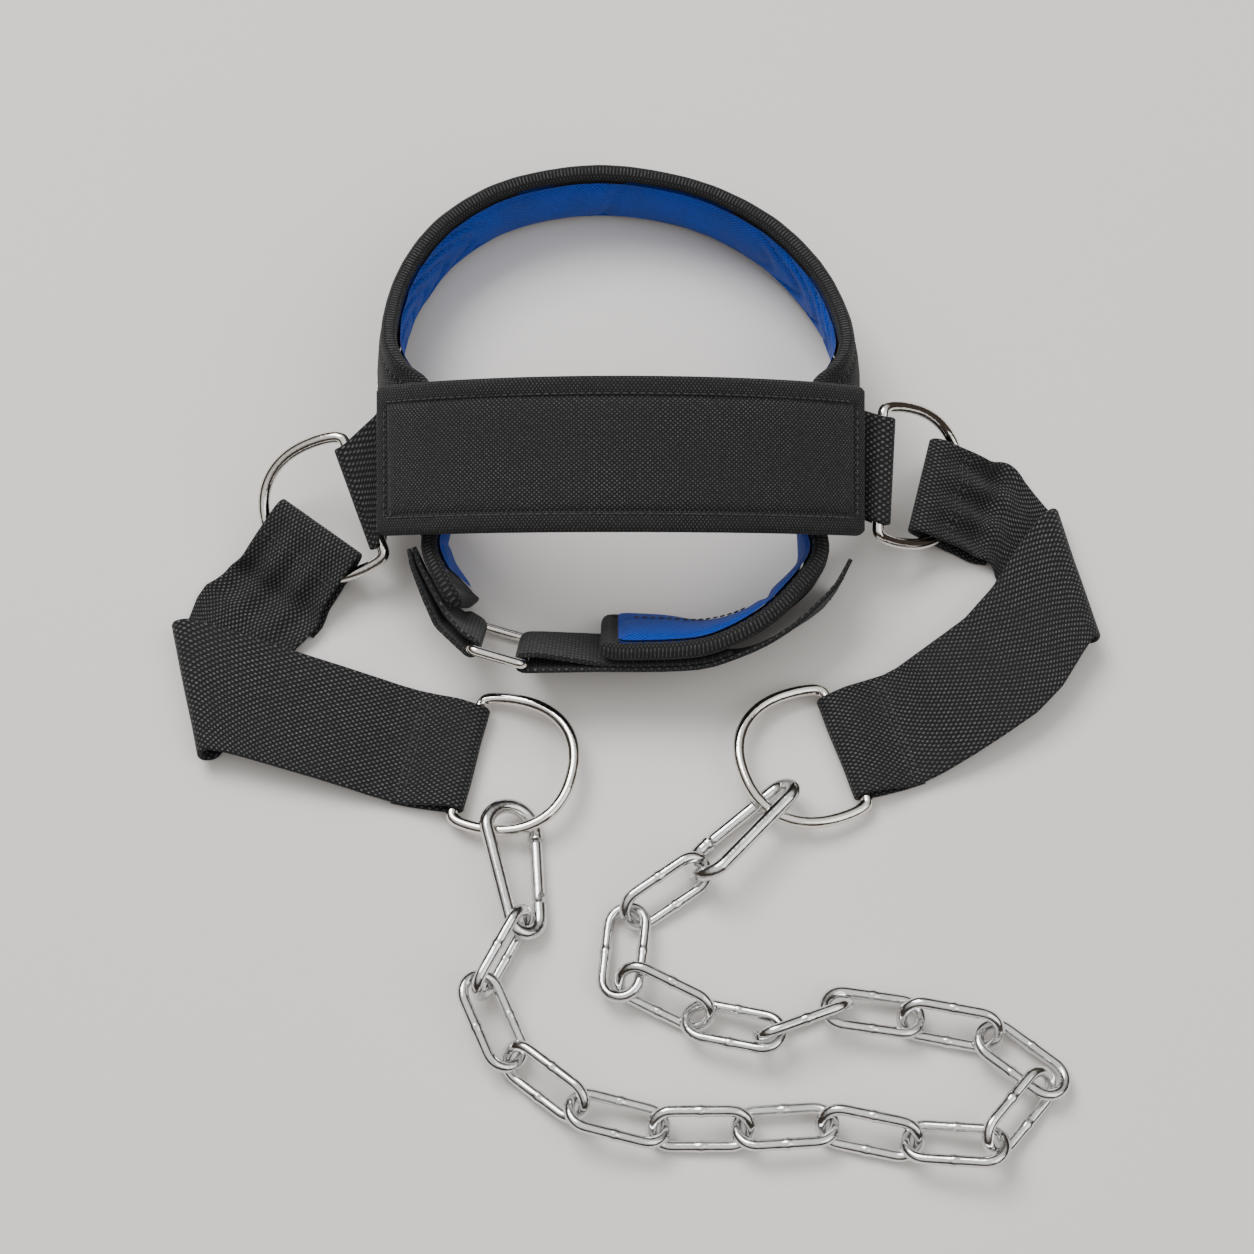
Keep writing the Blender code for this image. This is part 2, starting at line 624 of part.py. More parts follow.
def link_points():
    radius = (LINK_WIDTH - LINK_WIRE) / 2
    straight = (LINK_LENGTH - LINK_WIDTH) / 2
    points = []
    for i in range(7):
        angle = math.radians(-90 + 30 * i)
        points.append((straight + radius * math.cos(angle), radius * math.sin(angle), 0.0))
    for i in range(7):
        angle = math.radians(90 + 30 * i)
        points.append((-straight + radius * math.cos(angle), radius * math.sin(angle), 0.0))
    return points


def sampled(points, matrix, closed=True):
    """Points at even steps along a middle line, in the world, as an array."""
    line = np.array([tuple(matrix @ Vector(point)) for point in points])
    if closed:
        line = np.vstack([line, line[:1]])
    run = np.concatenate([[0.0], np.cumsum(np.linalg.norm(np.diff(line, axis=0), axis=1))])
    steps = np.arange(0.0, run[-1], 0.0012)
    return np.stack([np.interp(steps, run, line[:, axis]) for axis in range(3)], axis=1)


def settle(lines, radii, gap):
    """Moves for the middle lines between the first and last, so that neighbours clear by a gap
    and none hangs further off than half as much again."""
    moves = np.zeros((len(lines), 3))
    for _ in range(SETTLING_ROUNDS):
        for i in range(len(lines) - 1):
            apart = (lines[i] + moves[i])[:, None, :] - (lines[i + 1] + moves[i + 1])[None, :, :]
            length = np.sqrt((apart ** 2).sum(axis=2))
            near = np.unravel_index(length.argmin(), length.shape)
            short = radii[i] + radii[i + 1] + gap - length[near]
            if short > 0 or short < -gap / 2:
                push = apart[near] / length[near] * (short if short > 0 else short + gap / 2)
                first_fixed = i == 0
                last_fixed = i == len(lines) - 2
                moves[i] += push * (0.0 if first_fixed else 1.0 if last_fixed else 0.5)
                moves[i + 1] -= push * (0.0 if last_fixed else 1.0 if first_fixed else 0.5)
        for i in range(1, len(lines) - 1):
            low = lines[i][:, 2].min() + moves[i][2] - radii[i]
            moves[i][2] += max(0.0, -low)
    return moves


def build_chain(look, collection):
    """Welded links, each hung in the next along the route, rolled in turn to one side and the other."""
    snap_line = snap_path()
    lines = [sampled(snap_line, frame_matrix(*SNAP_LEFT))]
    radii = [SNAP_WIRE / 2]
    frames = []
    for row, after in zip(CHAIN_ROUTE, CHAIN_ROUTE[1:] + [CHAIN_END]):
        start = Vector(row[:3])
        end = Vector(after[:3])
        along = (end - start).normalized()
        level = Z_AXIS.cross(along).normalized()
        roll = math.radians(row[3])
        across = level * math.cos(roll) + along.cross(level) * math.sin(roll)
        frames.append(frame_matrix((start + end) / 2, along, across))
        lines.append(sampled(link_points(), frames[-1]))
        radii.append(LINK_WIRE / 2)
    lines.append(sampled(snap_line, frame_matrix(*SNAP_RIGHT)))
    radii.append(SNAP_WIRE / 2)
    moves = settle(lines, radii, LINK_GAP)
    for i, (frame, move) in enumerate(zip(frames, moves[1:])):
        link = wire("link_%02d" % (i + 1), link_points(), LINK_WIRE, 6, look, collection)
        put(link, Matrix.Translation(Vector(move)) @ frame)


def centre_on_footprint(collection):
    """Move everything so that the origin is the middle of the footprint, on the floor."""
    bpy.context.view_layer.update()
    graph = bpy.context.evaluated_depsgraph_get()
    corners = []
    for made in collection.objects:
        seen = made.evaluated_get(graph)
        mesh = seen.to_mesh()
        corners += [made.matrix_world @ vert.co for vert in mesh.vertices]
        seen.to_mesh_clear()
    low = Vector(min(c[i] for c in corners) for i in range(3))
    high = Vector(max(c[i] for c in corners) for i in range(3))
    shift = Vector(((low.x + high.x) / 2, (low.y + high.y) / 2, low.z))
    for made in collection.objects:
        made.location -= shift


def main():
    for old in list(bpy.data.objects):
        bpy.data.objects.remove(old, do_unlink=True)
    collection = bpy.data.collections.new("neck_training_harness")
    bpy.context.scene.collection.children.link(collection)
    black = material("black webbing", (0.022, 0.022, 0.024), 0.85, 0.0)
    canvas = material("black canvas", (0.026, 0.026, 0.028), 0.80, 0.0)
    blue = material("blue lining", (0.006, 0.075, 0.36), 0.75, 0.0)
    chrome = material("chromed wire", (0.80, 0.78, 0.75), 0.16, 1.0)
    zinc = material("zinc plated steel", (0.74, 0.75, 0.77), 0.26, 1.0)
    build_ring_band((black, canvas, blue, chrome), collection)
    rings = (("upper_left", UPPER_RING_LEFT), ("upper_right", UPPER_RING_RIGHT),
             ("lower_left", LOWER_RING_LEFT), ("lower_right", LOWER_RING_RIGHT))
    for label, (bar, out, axis) in rings:
        ring = wire("d_ring_" + label, ring_outline(), RING_WIRE, 8, chrome, collection)
        put(ring, frame_matrix(bar, out, axis))
    build_tab("left", -1, UPPER_RING_LEFT, black, collection)
    build_tab("right", 1, UPPER_RING_RIGHT, black, collection)
    build_strap("left", UPPER_RING_LEFT, LOWER_RING_LEFT, LEFT_TUNNEL, LEFT_RUN, black, collection)
    build_strap("right", UPPER_RING_RIGHT, LOWER_RING_RIGHT, RIGHT_TUNNEL, RIGHT_RUN, black, collection)
    build_snap("left", SNAP_LEFT, zinc, collection)
    build_snap("right", SNAP_RIGHT, zinc, collection)
    build_chain(zinc, collection)
    centre_on_footprint(collection)


main()
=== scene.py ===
"""Looks of a neck training harness lying on a pale studio floor."""

import math

import bpy
import numpy as np
from mathutils import Matrix, Vector, noise


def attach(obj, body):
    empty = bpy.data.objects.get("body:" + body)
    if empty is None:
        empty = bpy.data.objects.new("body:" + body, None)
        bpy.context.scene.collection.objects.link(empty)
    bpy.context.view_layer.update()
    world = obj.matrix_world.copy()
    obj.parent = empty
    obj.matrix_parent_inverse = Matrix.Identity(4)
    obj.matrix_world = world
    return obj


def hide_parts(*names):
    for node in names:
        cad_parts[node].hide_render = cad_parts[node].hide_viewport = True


bl_info = {
    "name": "Neck training harness looks",
    "version": (1, 0, 0),
    "blender": (4, 5, 0),
    "location": "3D View > Sidebar > Harness",
    "description": "Padded bands, webbing, wire and chain of a neck training harness",
    "category": "Object",
}

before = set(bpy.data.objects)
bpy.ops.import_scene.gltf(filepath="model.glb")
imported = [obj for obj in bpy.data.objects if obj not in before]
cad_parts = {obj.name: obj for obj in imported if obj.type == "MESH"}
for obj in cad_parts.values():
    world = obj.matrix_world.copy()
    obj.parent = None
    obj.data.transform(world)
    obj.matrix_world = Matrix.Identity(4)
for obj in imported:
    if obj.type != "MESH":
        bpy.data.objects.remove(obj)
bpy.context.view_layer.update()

# Middle of the footprint in the coordinates that the tables below are written in
SHIFT = Vector((0.0032462, -0.0110416, -0.0006238))
X_AXIS = Vector((1.0, 0.0, 0.0))
Z_AXIS = Vector((0.0, 0.0, 1.0))


# Settings that a user would change

class HarnessSizes(bpy.types.PropertyGroup):
    """Sizes of the harness and of its details."""
    head_width: bpy.props.FloatProperty(
        name="Head width", description="Between the front panel's two ends",
        default=0.193, unit="LENGTH")
    crown_reach: bpy.props.FloatProperty(
        name="Crown reach", description="From the side joints back to the crown band",
        default=0.142, unit="LENGTH")
    rear_reach: bpy.props.FloatProperty(
        name="Rear reach", description="From the side joints forward to the rear band",
        default=0.067, unit="LENGTH")
    panel_width: bpy.props.FloatProperty(
        name="Panel width", description="Width of the front panel", default=0.060, unit="LENGTH")
    panel_thickness: bpy.props.FloatProperty(
        name="Panel thickness", description="Thickness of the front panel",
        default=0.007, unit="LENGTH")
    crown_width: bpy.props.FloatProperty(
        name="Crown width", description="Width of the crown band", default=0.044, unit="LENGTH")
    pad_thickness: bpy.props.FloatProperty(
        name="Pad thickness", description="Thickness of the crown band and the rear pads",
        default=0.008, unit="LENGTH")
    rear_pad_width: bpy.props.FloatProperty(
        name="Rear pad width", description="Width of the rear pads", default=0.046, unit="LENGTH")
    webbing_width: bpy.props.FloatProperty(
        name="Webbing width", description="Width of the long straps", default=0.048, unit="LENGTH")
    rear_webbing_width: bpy.props.FloatProperty(
        name="Rear webbing width", description="Width of the webbing on the rear pads",
        default=0.038, unit="LENGTH")
    webbing_thickness: bpy.props.FloatProperty(
        name="Webbing thickness", description="Thickness of all webbing", default=0.0018,
        unit="LENGTH")
    binding_width: bpy.props.FloatProperty(
        name="Binding width", description="From a padded edge in to its row of stitches",
        default=0.0082, unit="LENGTH")
    stitch_length: bpy.props.FloatProperty(
        name="Stitch length", description="Length of one visible stitch", default=0.0024,
        unit="LENGTH")
    stitch_pitch: bpy.props.FloatProperty(
        name="Stitch pitch", description="From one stitch to the next", default=0.0033,
        unit="LENGTH")
    thread_thickness: bpy.props.FloatProperty(
        name="Thread thickness", description="Thickness of the sewing thread", default=0.0007,
        unit="LENGTH")


class HarnessColours(bpy.types.PropertyGroup):
    """Colours of the cloth, the painted sheen of the weave, the metal and the floor."""
    webbing: bpy.props.FloatVectorProperty(
        name="Webbing", description="Base colour of the webbing", size=3, min=0, max=1,
        default=(0.0085, 0.0085, 0.0092), subtype="COLOR")
    canvas: bpy.props.FloatVectorProperty(
        name="Canvas", description="Base colour of the padded canvas", size=3, min=0, max=1,
        default=(0.0095, 0.0095, 0.0102), subtype="COLOR")
    # Painted sheen: the lighter colour painted on the raised yarns of the webbing, canvas and binding
    painted_yarn_sheen: bpy.props.FloatVectorProperty(
        name="Yarn light", description="Colour of the weave where its yarns stand up", size=3,
        min=0, max=1, default=(0.150, 0.150, 0.155), subtype="COLOR")
    lining: bpy.props.FloatVectorProperty(
        name="Lining", description="Colour of the soft lining", size=3, min=0, max=1,
        default=(0.0008, 0.052, 0.40), subtype="COLOR")
    thread: bpy.props.FloatVectorProperty(
        name="Thread", description="Colour of the sewing thread", size=3, min=0, max=1,
        default=(0.020, 0.020, 0.022), subtype="COLOR")
    chrome: bpy.props.FloatVectorProperty(
        name="Chrome", description="Colour of the plated rings", size=3, min=0, max=1,
        default=(0.82, 0.79, 0.75), subtype="COLOR")
    zinc: bpy.props.FloatVectorProperty(
        name="Zinc", description="Colour of the chain and the hooks", size=3, min=0, max=1,
        default=(0.80, 0.80, 0.80), subtype="COLOR")
    floor: bpy.props.FloatVectorProperty(
        name="Floor", description="Colour of the studio floor", size=3, min=0, max=1,
        default=(0.80, 0.772, 0.745), subtype="COLOR")


def sizes():
    return bpy.context.scene.harness_sizes


def colours():
    return bpy.context.scene.harness_colours


# Fixed sizes that the solids have too
PANEL_BOW = 0.046
PANEL_END_HEIGHT = 0.046
PANEL_TILT = math.radians(23.0)
LINING_THICKNESS = 0.0012
LINING_MARGIN = 0.0035
RING_WIRE = 0.0048
RING_WIDTH = 0.0606
RING_DEPTH = 0.0485
ADJUSTER_WIRE = 0.0040
ADJUSTER_WIDTH = 0.026
SNAP_LENGTH = 0.058
SNAP_WIDTH = 0.027
SNAP_FOOT_WIDTH = 0.0186
SNAP_WIRE = 0.0058
GATE_THICKNESS = 0.0052
LINK_WIRE = 0.0045
LINK_LENGTH = 0.042
LINK_WIDTH = 0.0195
STITCH_SETBACK = 0.020
CLEARANCE = 0.0003
JOINT_GAP = 0.0008
JOINT_SETBACK = 0.006
REAR_GAP = 0.0008
LAYER_GAP = 0.0004
RING_CLEARANCE = 0.0005
SEAT_SHARE = 0.84           # how much of a pad's thickness its rolled border keeps
CROWN_BINDING = 0.0095
REAR_BINDING = 0.0055
ROLL_REACH = 0.0032         # from a pad's border in to the top of its rolled edge
# Metres between two yarns along the cloth and across it
WEBBING_PITCH = (0.0030, 0.0024)
CANVAS_PITCH = (0.0019, 0.0017)
BINDING_PITCH = (0.0015, 0.0020)
LINING_PITCH = (0.0021, 0.0017)
WEAVE_DEPTH = 0.0003
# The photographed view
CAMERA_ELEVATION = math.radians(67.0)
CAMERA_DISTANCE = 1.1
CAMERA_LENS = 77.37         # millimetres on a sensor 36 wide


def derived():
    """Sizes that follow from the settings."""
    size = sizes()
    out = {"half": size.head_width / 2}
    tab_layers = 2 * size.webbing_thickness + LAYER_GAP
    out["tab_depth"] = size.panel_thickness / 2 + JOINT_GAP + tab_layers / 2
    out["crown_depth"] = out["tab_depth"] + tab_layers / 2 + JOINT_GAP + size.pad_thickness / 2
    out["pad_depth"] = out["crown_depth"] + size.pad_thickness + JOINT_GAP
    out["loop"] = RING_WIRE / 2 + RING_CLEARANCE + size.webbing_thickness / 2
    out["rear_loop"] = ADJUSTER_WIRE / 2 + RING_CLEARANCE + size.webbing_thickness / 2
    return out


# Where things lie: bar centre, direction to the round side, bar direction
UPPER_RING_LEFT = (Vector((-0.1065, 0.0450, 0.0295)), Vector((-0.90, -0.20, -0.36)),
                   Vector((0.34, -0.86, -0.37)))
UPPER_RING_RIGHT = (Vector((0.1022, 0.0524, 0.0375)), Vector((0.80, 0.14, -0.58)),
                    Vector((-0.08, -0.95, -0.29)))
LOWER_RING_LEFT = (Vector((-0.0640, -0.0590, 0.0053)), Vector((0.965, -0.22, 0.146)),
                   Vector((-0.22, -0.975, 0.0)))
LOWER_RING_RIGHT = (Vector((0.0872, -0.0540, 0.0053)), Vector((-0.936, -0.322, 0.139)),
                    Vector((0.326, -0.946, 0.0)))
# Outer end of the wide loop, direction to the narrow end, direction to the gate side
SNAP_LEFT = (Vector((-0.0465, -0.0772, 0.0084)), Vector((0.066, -0.997, 0.033)),
             Vector((0.89, 0.044, -0.454)))
SNAP_RIGHT = (Vector((0.0237, -0.1098, 0.0098)), Vector((0.774, 0.627, 0.089)),
              Vector((-0.363, 0.555, -0.748)))
CROWN_ROWS = [
    # out, back, height, lean_out, lean_back, width
    (0.955, 0.24, 1.82, -0.27, 0.07, 1.0),
    (0.985, 0.345, 1.62, -0.12, 0.02, 1.0),
    (0.96, 0.51, 1.27, -0.10, -0.02, 1.0),
    (0.88, 0.66, 1.07, -0.06, -0.07, 1.0),
    (0.725, 0.81, 1.0, -0.06, -0.11, 1.0),
    (0.49, 0.925, 1.0, -0.04, -0.16, 1.0),
    (0.25, 0.98, 1.0, -0.02, -0.18, 1.0),
]
CROWN_MIDDLE = (0.0, 1.0, 1.0, 0.0, -0.18, 1.0)
CROWN_SHIFT = -0.009
REAR_LEFT_ROWS = [
    (0.78, -0.27, 1.00, -0.16, 0.03, 0.80),
    (0.775, -0.48, 0.95, 0.10, -0.06, 0.90),
    (0.70, -0.66, 0.98, 0.20, -0.18, 1.0),
    (0.64, -0.79, 0.97, 0.12, -0.42, 1.0),
]
REAR_RIGHT_ROWS = [
    (0.80, -0.26, 1.00, -0.16, 0.03, 0.80),
    (0.81, -0.52, 0.95, 0.10, -0.07, 0.90),
    (0.69, -0.74, 1.00, 0.15, -0.20, 1.0),
    (0.545, -0.91, 0.98, 0.15, -0.31, 1.0),
    (0.36, -1.00, 0.97, 0.07, -0.50, 1.0),
    (0.18, -1.00, 0.97, 0.02, -0.60, 1.0),
    (-0.083, -0.985, 0.97, 0.0, -0.65, 1.0),
]
ADJUSTER_AT = (-0.497, -1.03, 0.92)
ADJUSTER_UP = Vector((-0.02, -0.59, 0.81))
ADJUSTER_ALONG = Vector((0.97, -0.24, -0.15))
REAR_WEB_START = 12
HEAD_CENTRE = Vector((-0.0025, 0.0525, 0.0))
LEFT_RUN = [
    # x, y, height, heading of the width, stretch of the width
    (-0.1560, 0.0010, 0.0013, -40, 1.0),
    (-0.1712, -0.0294, 0.0012, -72, 1.22),
    (-0.1755, -0.0306, 0.0032, -75, 1.24),
    (-0.1770, -0.0310, 0.0078, -76, 1.24),
    (-0.1755, -0.0306, 0.0124, -77, 1.22),
    (-0.1700, -0.0300, 0.0144, -80, 1.18),
    (-0.1400, -0.0395, 0.0135, -96, 1.03),
    (-0.1100, -0.0480, 0.0100, -103, 1.0),
]
RIGHT_RUN = [
    (0.1590, 0.0400, 0.0014, -108, 1.0),
    (0.1750, 0.0230, 0.0013, -92, 1.15),
    (0.1815, 0.0200, 0.0036, -80, 1.25),
    (0.1840, 0.0195, 0.0090, -77, 1.25),
    (0.1815, 0.0190, 0.0144, -74, 1.22),
    (0.1750, 0.0120, 0.0168, -66, 1.12),
    (0.1560, -0.0180, 0.0150, -56, 1.02),
    (0.1300, -0.0360, 0.0110, -57, 1.0),
]
LEFT_TUNNEL = (math.radians(36), 0.0135)
RIGHT_TUNNEL = (math.radians(14), 0.0135)


# Paths

def smooth(rows, steps):
    """Rows of numbers along an even curve through the given rows."""
    rows = [rows[0]] + list(rows) + [rows[-1]]
    out = []
    for a, b, c, d in zip(rows, rows[1:], rows[2:], rows[3:]):
        for i in range(steps):
            t = i / steps
            out.append([
                0.5 * (2 * q + (r - p) * t + (2 * p - 5 * q + 4 * r - s) * t ** 2
                       + (3 * q - p - 3 * r + s) * t ** 3)
                for p, q, r, s in zip(a, b, c, d)])
    out.append(list(rows[-1]))
    return out


def through(stations, steps):
    """Stations (centre, across) along a smooth curve through the given ones."""
    rows = [tuple(centre) + tuple(across) for centre, across in stations]
    return [(Vector(row[:3]), Vector(row[3:])) for row in smooth(rows, steps)]


def cut_corners(stations):
    """Stations along the given ones with each corner cut."""
    out = [stations[0]]
    for (a, u), (b, v) in zip(stations, stations[1:]):
        out.append((a.lerp(b, 0.25), u.lerp(v, 0.25)))
        out.append((a.lerp(b, 0.75), u.lerp(v, 0.75)))
    return [out[0]] + out[2:-2] + [stations[-1]]


def normals(stations):
    """The unit normal of a band at each station."""
    out = []
    for i, (_, across) in enumerate(stations):
        before = stations[max(i - 1, 0)][0]
        after = stations[min(i + 1, len(stations) - 1)][0]
        out.append((after - before).cross(across).normalized())
    return out


def moved(stations, distances):
    """Stations moved along their normals, by one distance or by a distance each."""
    if not isinstance(distances, list):
        distances = [distances] * len(stations)
    return [(centre + normal * distance, across)
            for (centre, across), normal, distance in zip(stations, normals(stations), distances)]


def resized(stations, width):
    """The same stations for a band of another width."""
    widest = max(across.length for _, across in stations)
    return [(centre, across * width / widest) for centre, across in stations]


def table_stations(rows, side, reach, width):
    """Stations from a table of shares on one side of the head."""
    out = []
    half = derived()["half"]
    for out_share, back, height, lean_out, lean_back, width_share in rows:
        shift = CROWN_SHIFT * max(back, 0.0) ** 2
        centre = HEAD_CENTRE + Vector((side * out_share * half + shift, back * reach,
                                       height * width / 2))
        up = Vector((side * lean_out, lean_back, math.sqrt(1 - lean_out ** 2 - lean_back ** 2)))
        out.append((centre, up * width * width_share))
    return out


def frame_matrix(origin, along, across):
    """A turned frame at origin: X along, Y nearly across, Z square to both."""
    x = along.normalized()
    y = (across - across.dot(x) * x).normalized()
    turn = Matrix((x, y, x.cross(y))).transposed()
    return Matrix.Translation(origin) @ turn.to_4x4()


def side_joint(side):
    """The panel's end on one side: its middle, and directions down the panel, out and back."""
    half_width = derived()["half"]
    radius = (half_width ** 2 + PANEL_BOW ** 2) / (2 * PANEL_BOW)
    half = math.asin(half_width / radius)
    bulge = Vector((0.0, -math.sin(PANEL_TILT), math.cos(PANEL_TILT)))
    end = HEAD_CENTRE + X_AXIS * side * half_width + Z_AXIS * PANEL_END_HEIGHT
    down = X_AXIS * side * math.cos(half) - bulge * math.sin(half)
    out = X_AXIS * side * math.sin(half) + bulge * math.cos(half)
    back = Z_AXIS.cross(out).normalized()
    return end, down, out, back if back.y > 0 else -back


def joint_station(side, depth, along, width):
    """A station in the flat of a side joint, at a depth under the panel's middle layer."""
    end, down, out, back = side_joint(side)
    up = out.cross(back).normalized()
    if up.z < 0:
        up = -up
    return end - down * JOINT_SETBACK - out * depth + back * along, up * width


def panel_path():
    size = sizes()
    half_width = derived()["half"]
    radius = (half_width ** 2 + PANEL_BOW ** 2) / (2 * PANEL_BOW)
    half = math.asin(half_width / radius)
    bulge = Vector((0.0, -math.sin(PANEL_TILT), math.cos(PANEL_TILT)))
    across = Vector((0.0, math.cos(PANEL_TILT), math.sin(PANEL_TILT))) * size.panel_width
    foot = HEAD_CENTRE + Z_AXIS * PANEL_END_HEIGHT + bulge * (PANEL_BOW - radius)
    out = []
    for i in range(49):
        angle = half * (i / 24 - 1)
        out.append((foot + X_AXIS * radius * math.sin(angle) + bulge * radius * math.cos(angle),
                    across))
    return out


def crown_path():
    size = sizes()

    def half(side):
        flat = [joint_station(side, derived()["crown_depth"], along, size.crown_width)
                for along in (0.002, 0.012, 0.027)]
        return flat + table_stations(CROWN_ROWS, side, size.crown_reach, size.crown_width)

    middle = table_stations([CROWN_MIDDLE], 1, size.crown_reach, size.crown_width)
    return through(half(-1) + middle + half(1)[::-1], 2)


def pad_path(side, rows):
    size = sizes()
    width = size.rear_pad_width * rows[0][-1]
    flat = [joint_station(side, derived()["pad_depth"], along, width)
            for along in (0.014, 0.0, -0.006)]
    return through(flat + table_stations(rows, side, size.rear_reach, size.rear_pad_width), 3)


def around(bar, start, turn, across, radius, steps=6):
    """Stations half way round a bar, from its start side past its turn side."""
    out = []
    for i in range(steps + 1):
        angle = math.pi * i / steps
        out.append((bar + (start * math.cos(angle) + turn * math.sin(angle)) * radius, across))
    return out


def adjuster_frame():
    size = sizes()
    x, y, z = ADJUSTER_AT
    centre = HEAD_CENTRE + Vector((x * derived()["half"], y * size.rear_reach,
                                   z * size.rear_pad_width / 2))
    return frame_matrix(centre, ADJUSTER_UP, ADJUSTER_ALONG)


def rear_web_path(side, rows):
    """Webbing sewn to a rear pad, through the adjuster ring and back outside the pad."""
    size = sizes()
    place_at = adjuster_frame()
    centre = place_at.to_translation()
    up = place_at.to_3x3().col[0].copy()
    along = place_at.to_3x3().col[1].copy()
    inward = along.cross(up)
    if inward.y < 0:
        inward = -inward
    half_wide = (ADJUSTER_WIDTH - ADJUSTER_WIRE) / 2
    loop = derived()["rear_loop"]
    first = size.pad_thickness / 2 + REAR_GAP + size.webbing_thickness / 2
    second = first + size.webbing_thickness + LAYER_GAP
    across = up * size.rear_webbing_width
    pad = [(at, up_there.normalized() * size.rear_webbing_width)
           for at, up_there in pad_path(side, rows)]
    bar = centre + along * side * half_wide
    turn = around(bar, inward, -along * side, across, loop)
    sewn = REAR_WEB_START if side < 0 else len(pad) - 8
    near = moved(pad, -side * first)[sewn:]
    near.append((bar + inward * (loop + 0.0012) + along * side * 0.004, across))
    last = len(pad) - 1
    if side < 0:
        stand_off = [0.0035 * max(i - REAR_WEB_START, 0) / (last - REAR_WEB_START)
                     for i in range(last + 1)]
    else:
        stand_off = [0.004 * min(1.0, max(0.0, 1 - (i - REAR_WEB_START) / 8))
                     for i in range(last + 1)]
    far = moved(pad, [-side * (second + extra) for extra in stand_off])[REAR_WEB_START:]
    outer_gap = through([turn[-1], far[-1]], 3)[1:-1]
    return near + turn + outer_gap + far[::-1]


def ring_point(angle):
    """A point of a D-ring's round side in its own plane, at an angle from straight out."""
    a = (RING_DEPTH - RING_WIRE) * 0.685
    centre = RING_DEPTH - RING_WIRE - a
    half = RING_WIDTH / 2 - RING_WIRE / 2
    power = 2 / 2.25
    c, s = math.cos(angle), math.sin(angle)
    return (centre + a * math.copysign(abs(c) ** power, c),
            half * math.copysign(abs(s) ** power, s))


def tab_path(side, ring):
    """A doubled tab sewn under the panel's end, looped round an upper D-ring's bar."""
    size = sizes()
    depth = derived()["tab_depth"]
    bar = ring[0]
    axis = frame_matrix(*ring).to_3x3().col[1].copy()
    point, down, out, _ = side_joint(side)
    flat = Vector((0.0, math.cos(PANEL_TILT), math.sin(PANEL_TILT)))
    width = min(size.webbing_width,
                2 * ring_point(math.radians(118))[1] - RING_WIRE - 4 * RING_CLEARANCE)
    along_bar = -axis * width
    root = point - down * 0.004 - out * depth
    lip = point + down * 0.006 - out * depth
    outward = bar - lip
    outward = (outward - outward.dot(axis) * axis).normalized()
    lift = along_bar.cross(outward).normalized()
    if lift.z < 0:
        lift = -lift
    turn = around(bar, lift, outward, along_bar, derived()["loop"] + RING_CLEARANCE)
    step = (size.webbing_thickness + LAYER_GAP) / 2
    upper = [(root + out * step, flat * width), (lip + out * step, flat * width)]
    lower = [(root - out * step, flat * width), (lip - out * step, flat * width)]
    path = upper[:1] + through([upper[1], turn[0]], 3)[:-1] + turn
    return path + through([turn[-1], lower[1]], 3)[1:] + lower[:1]


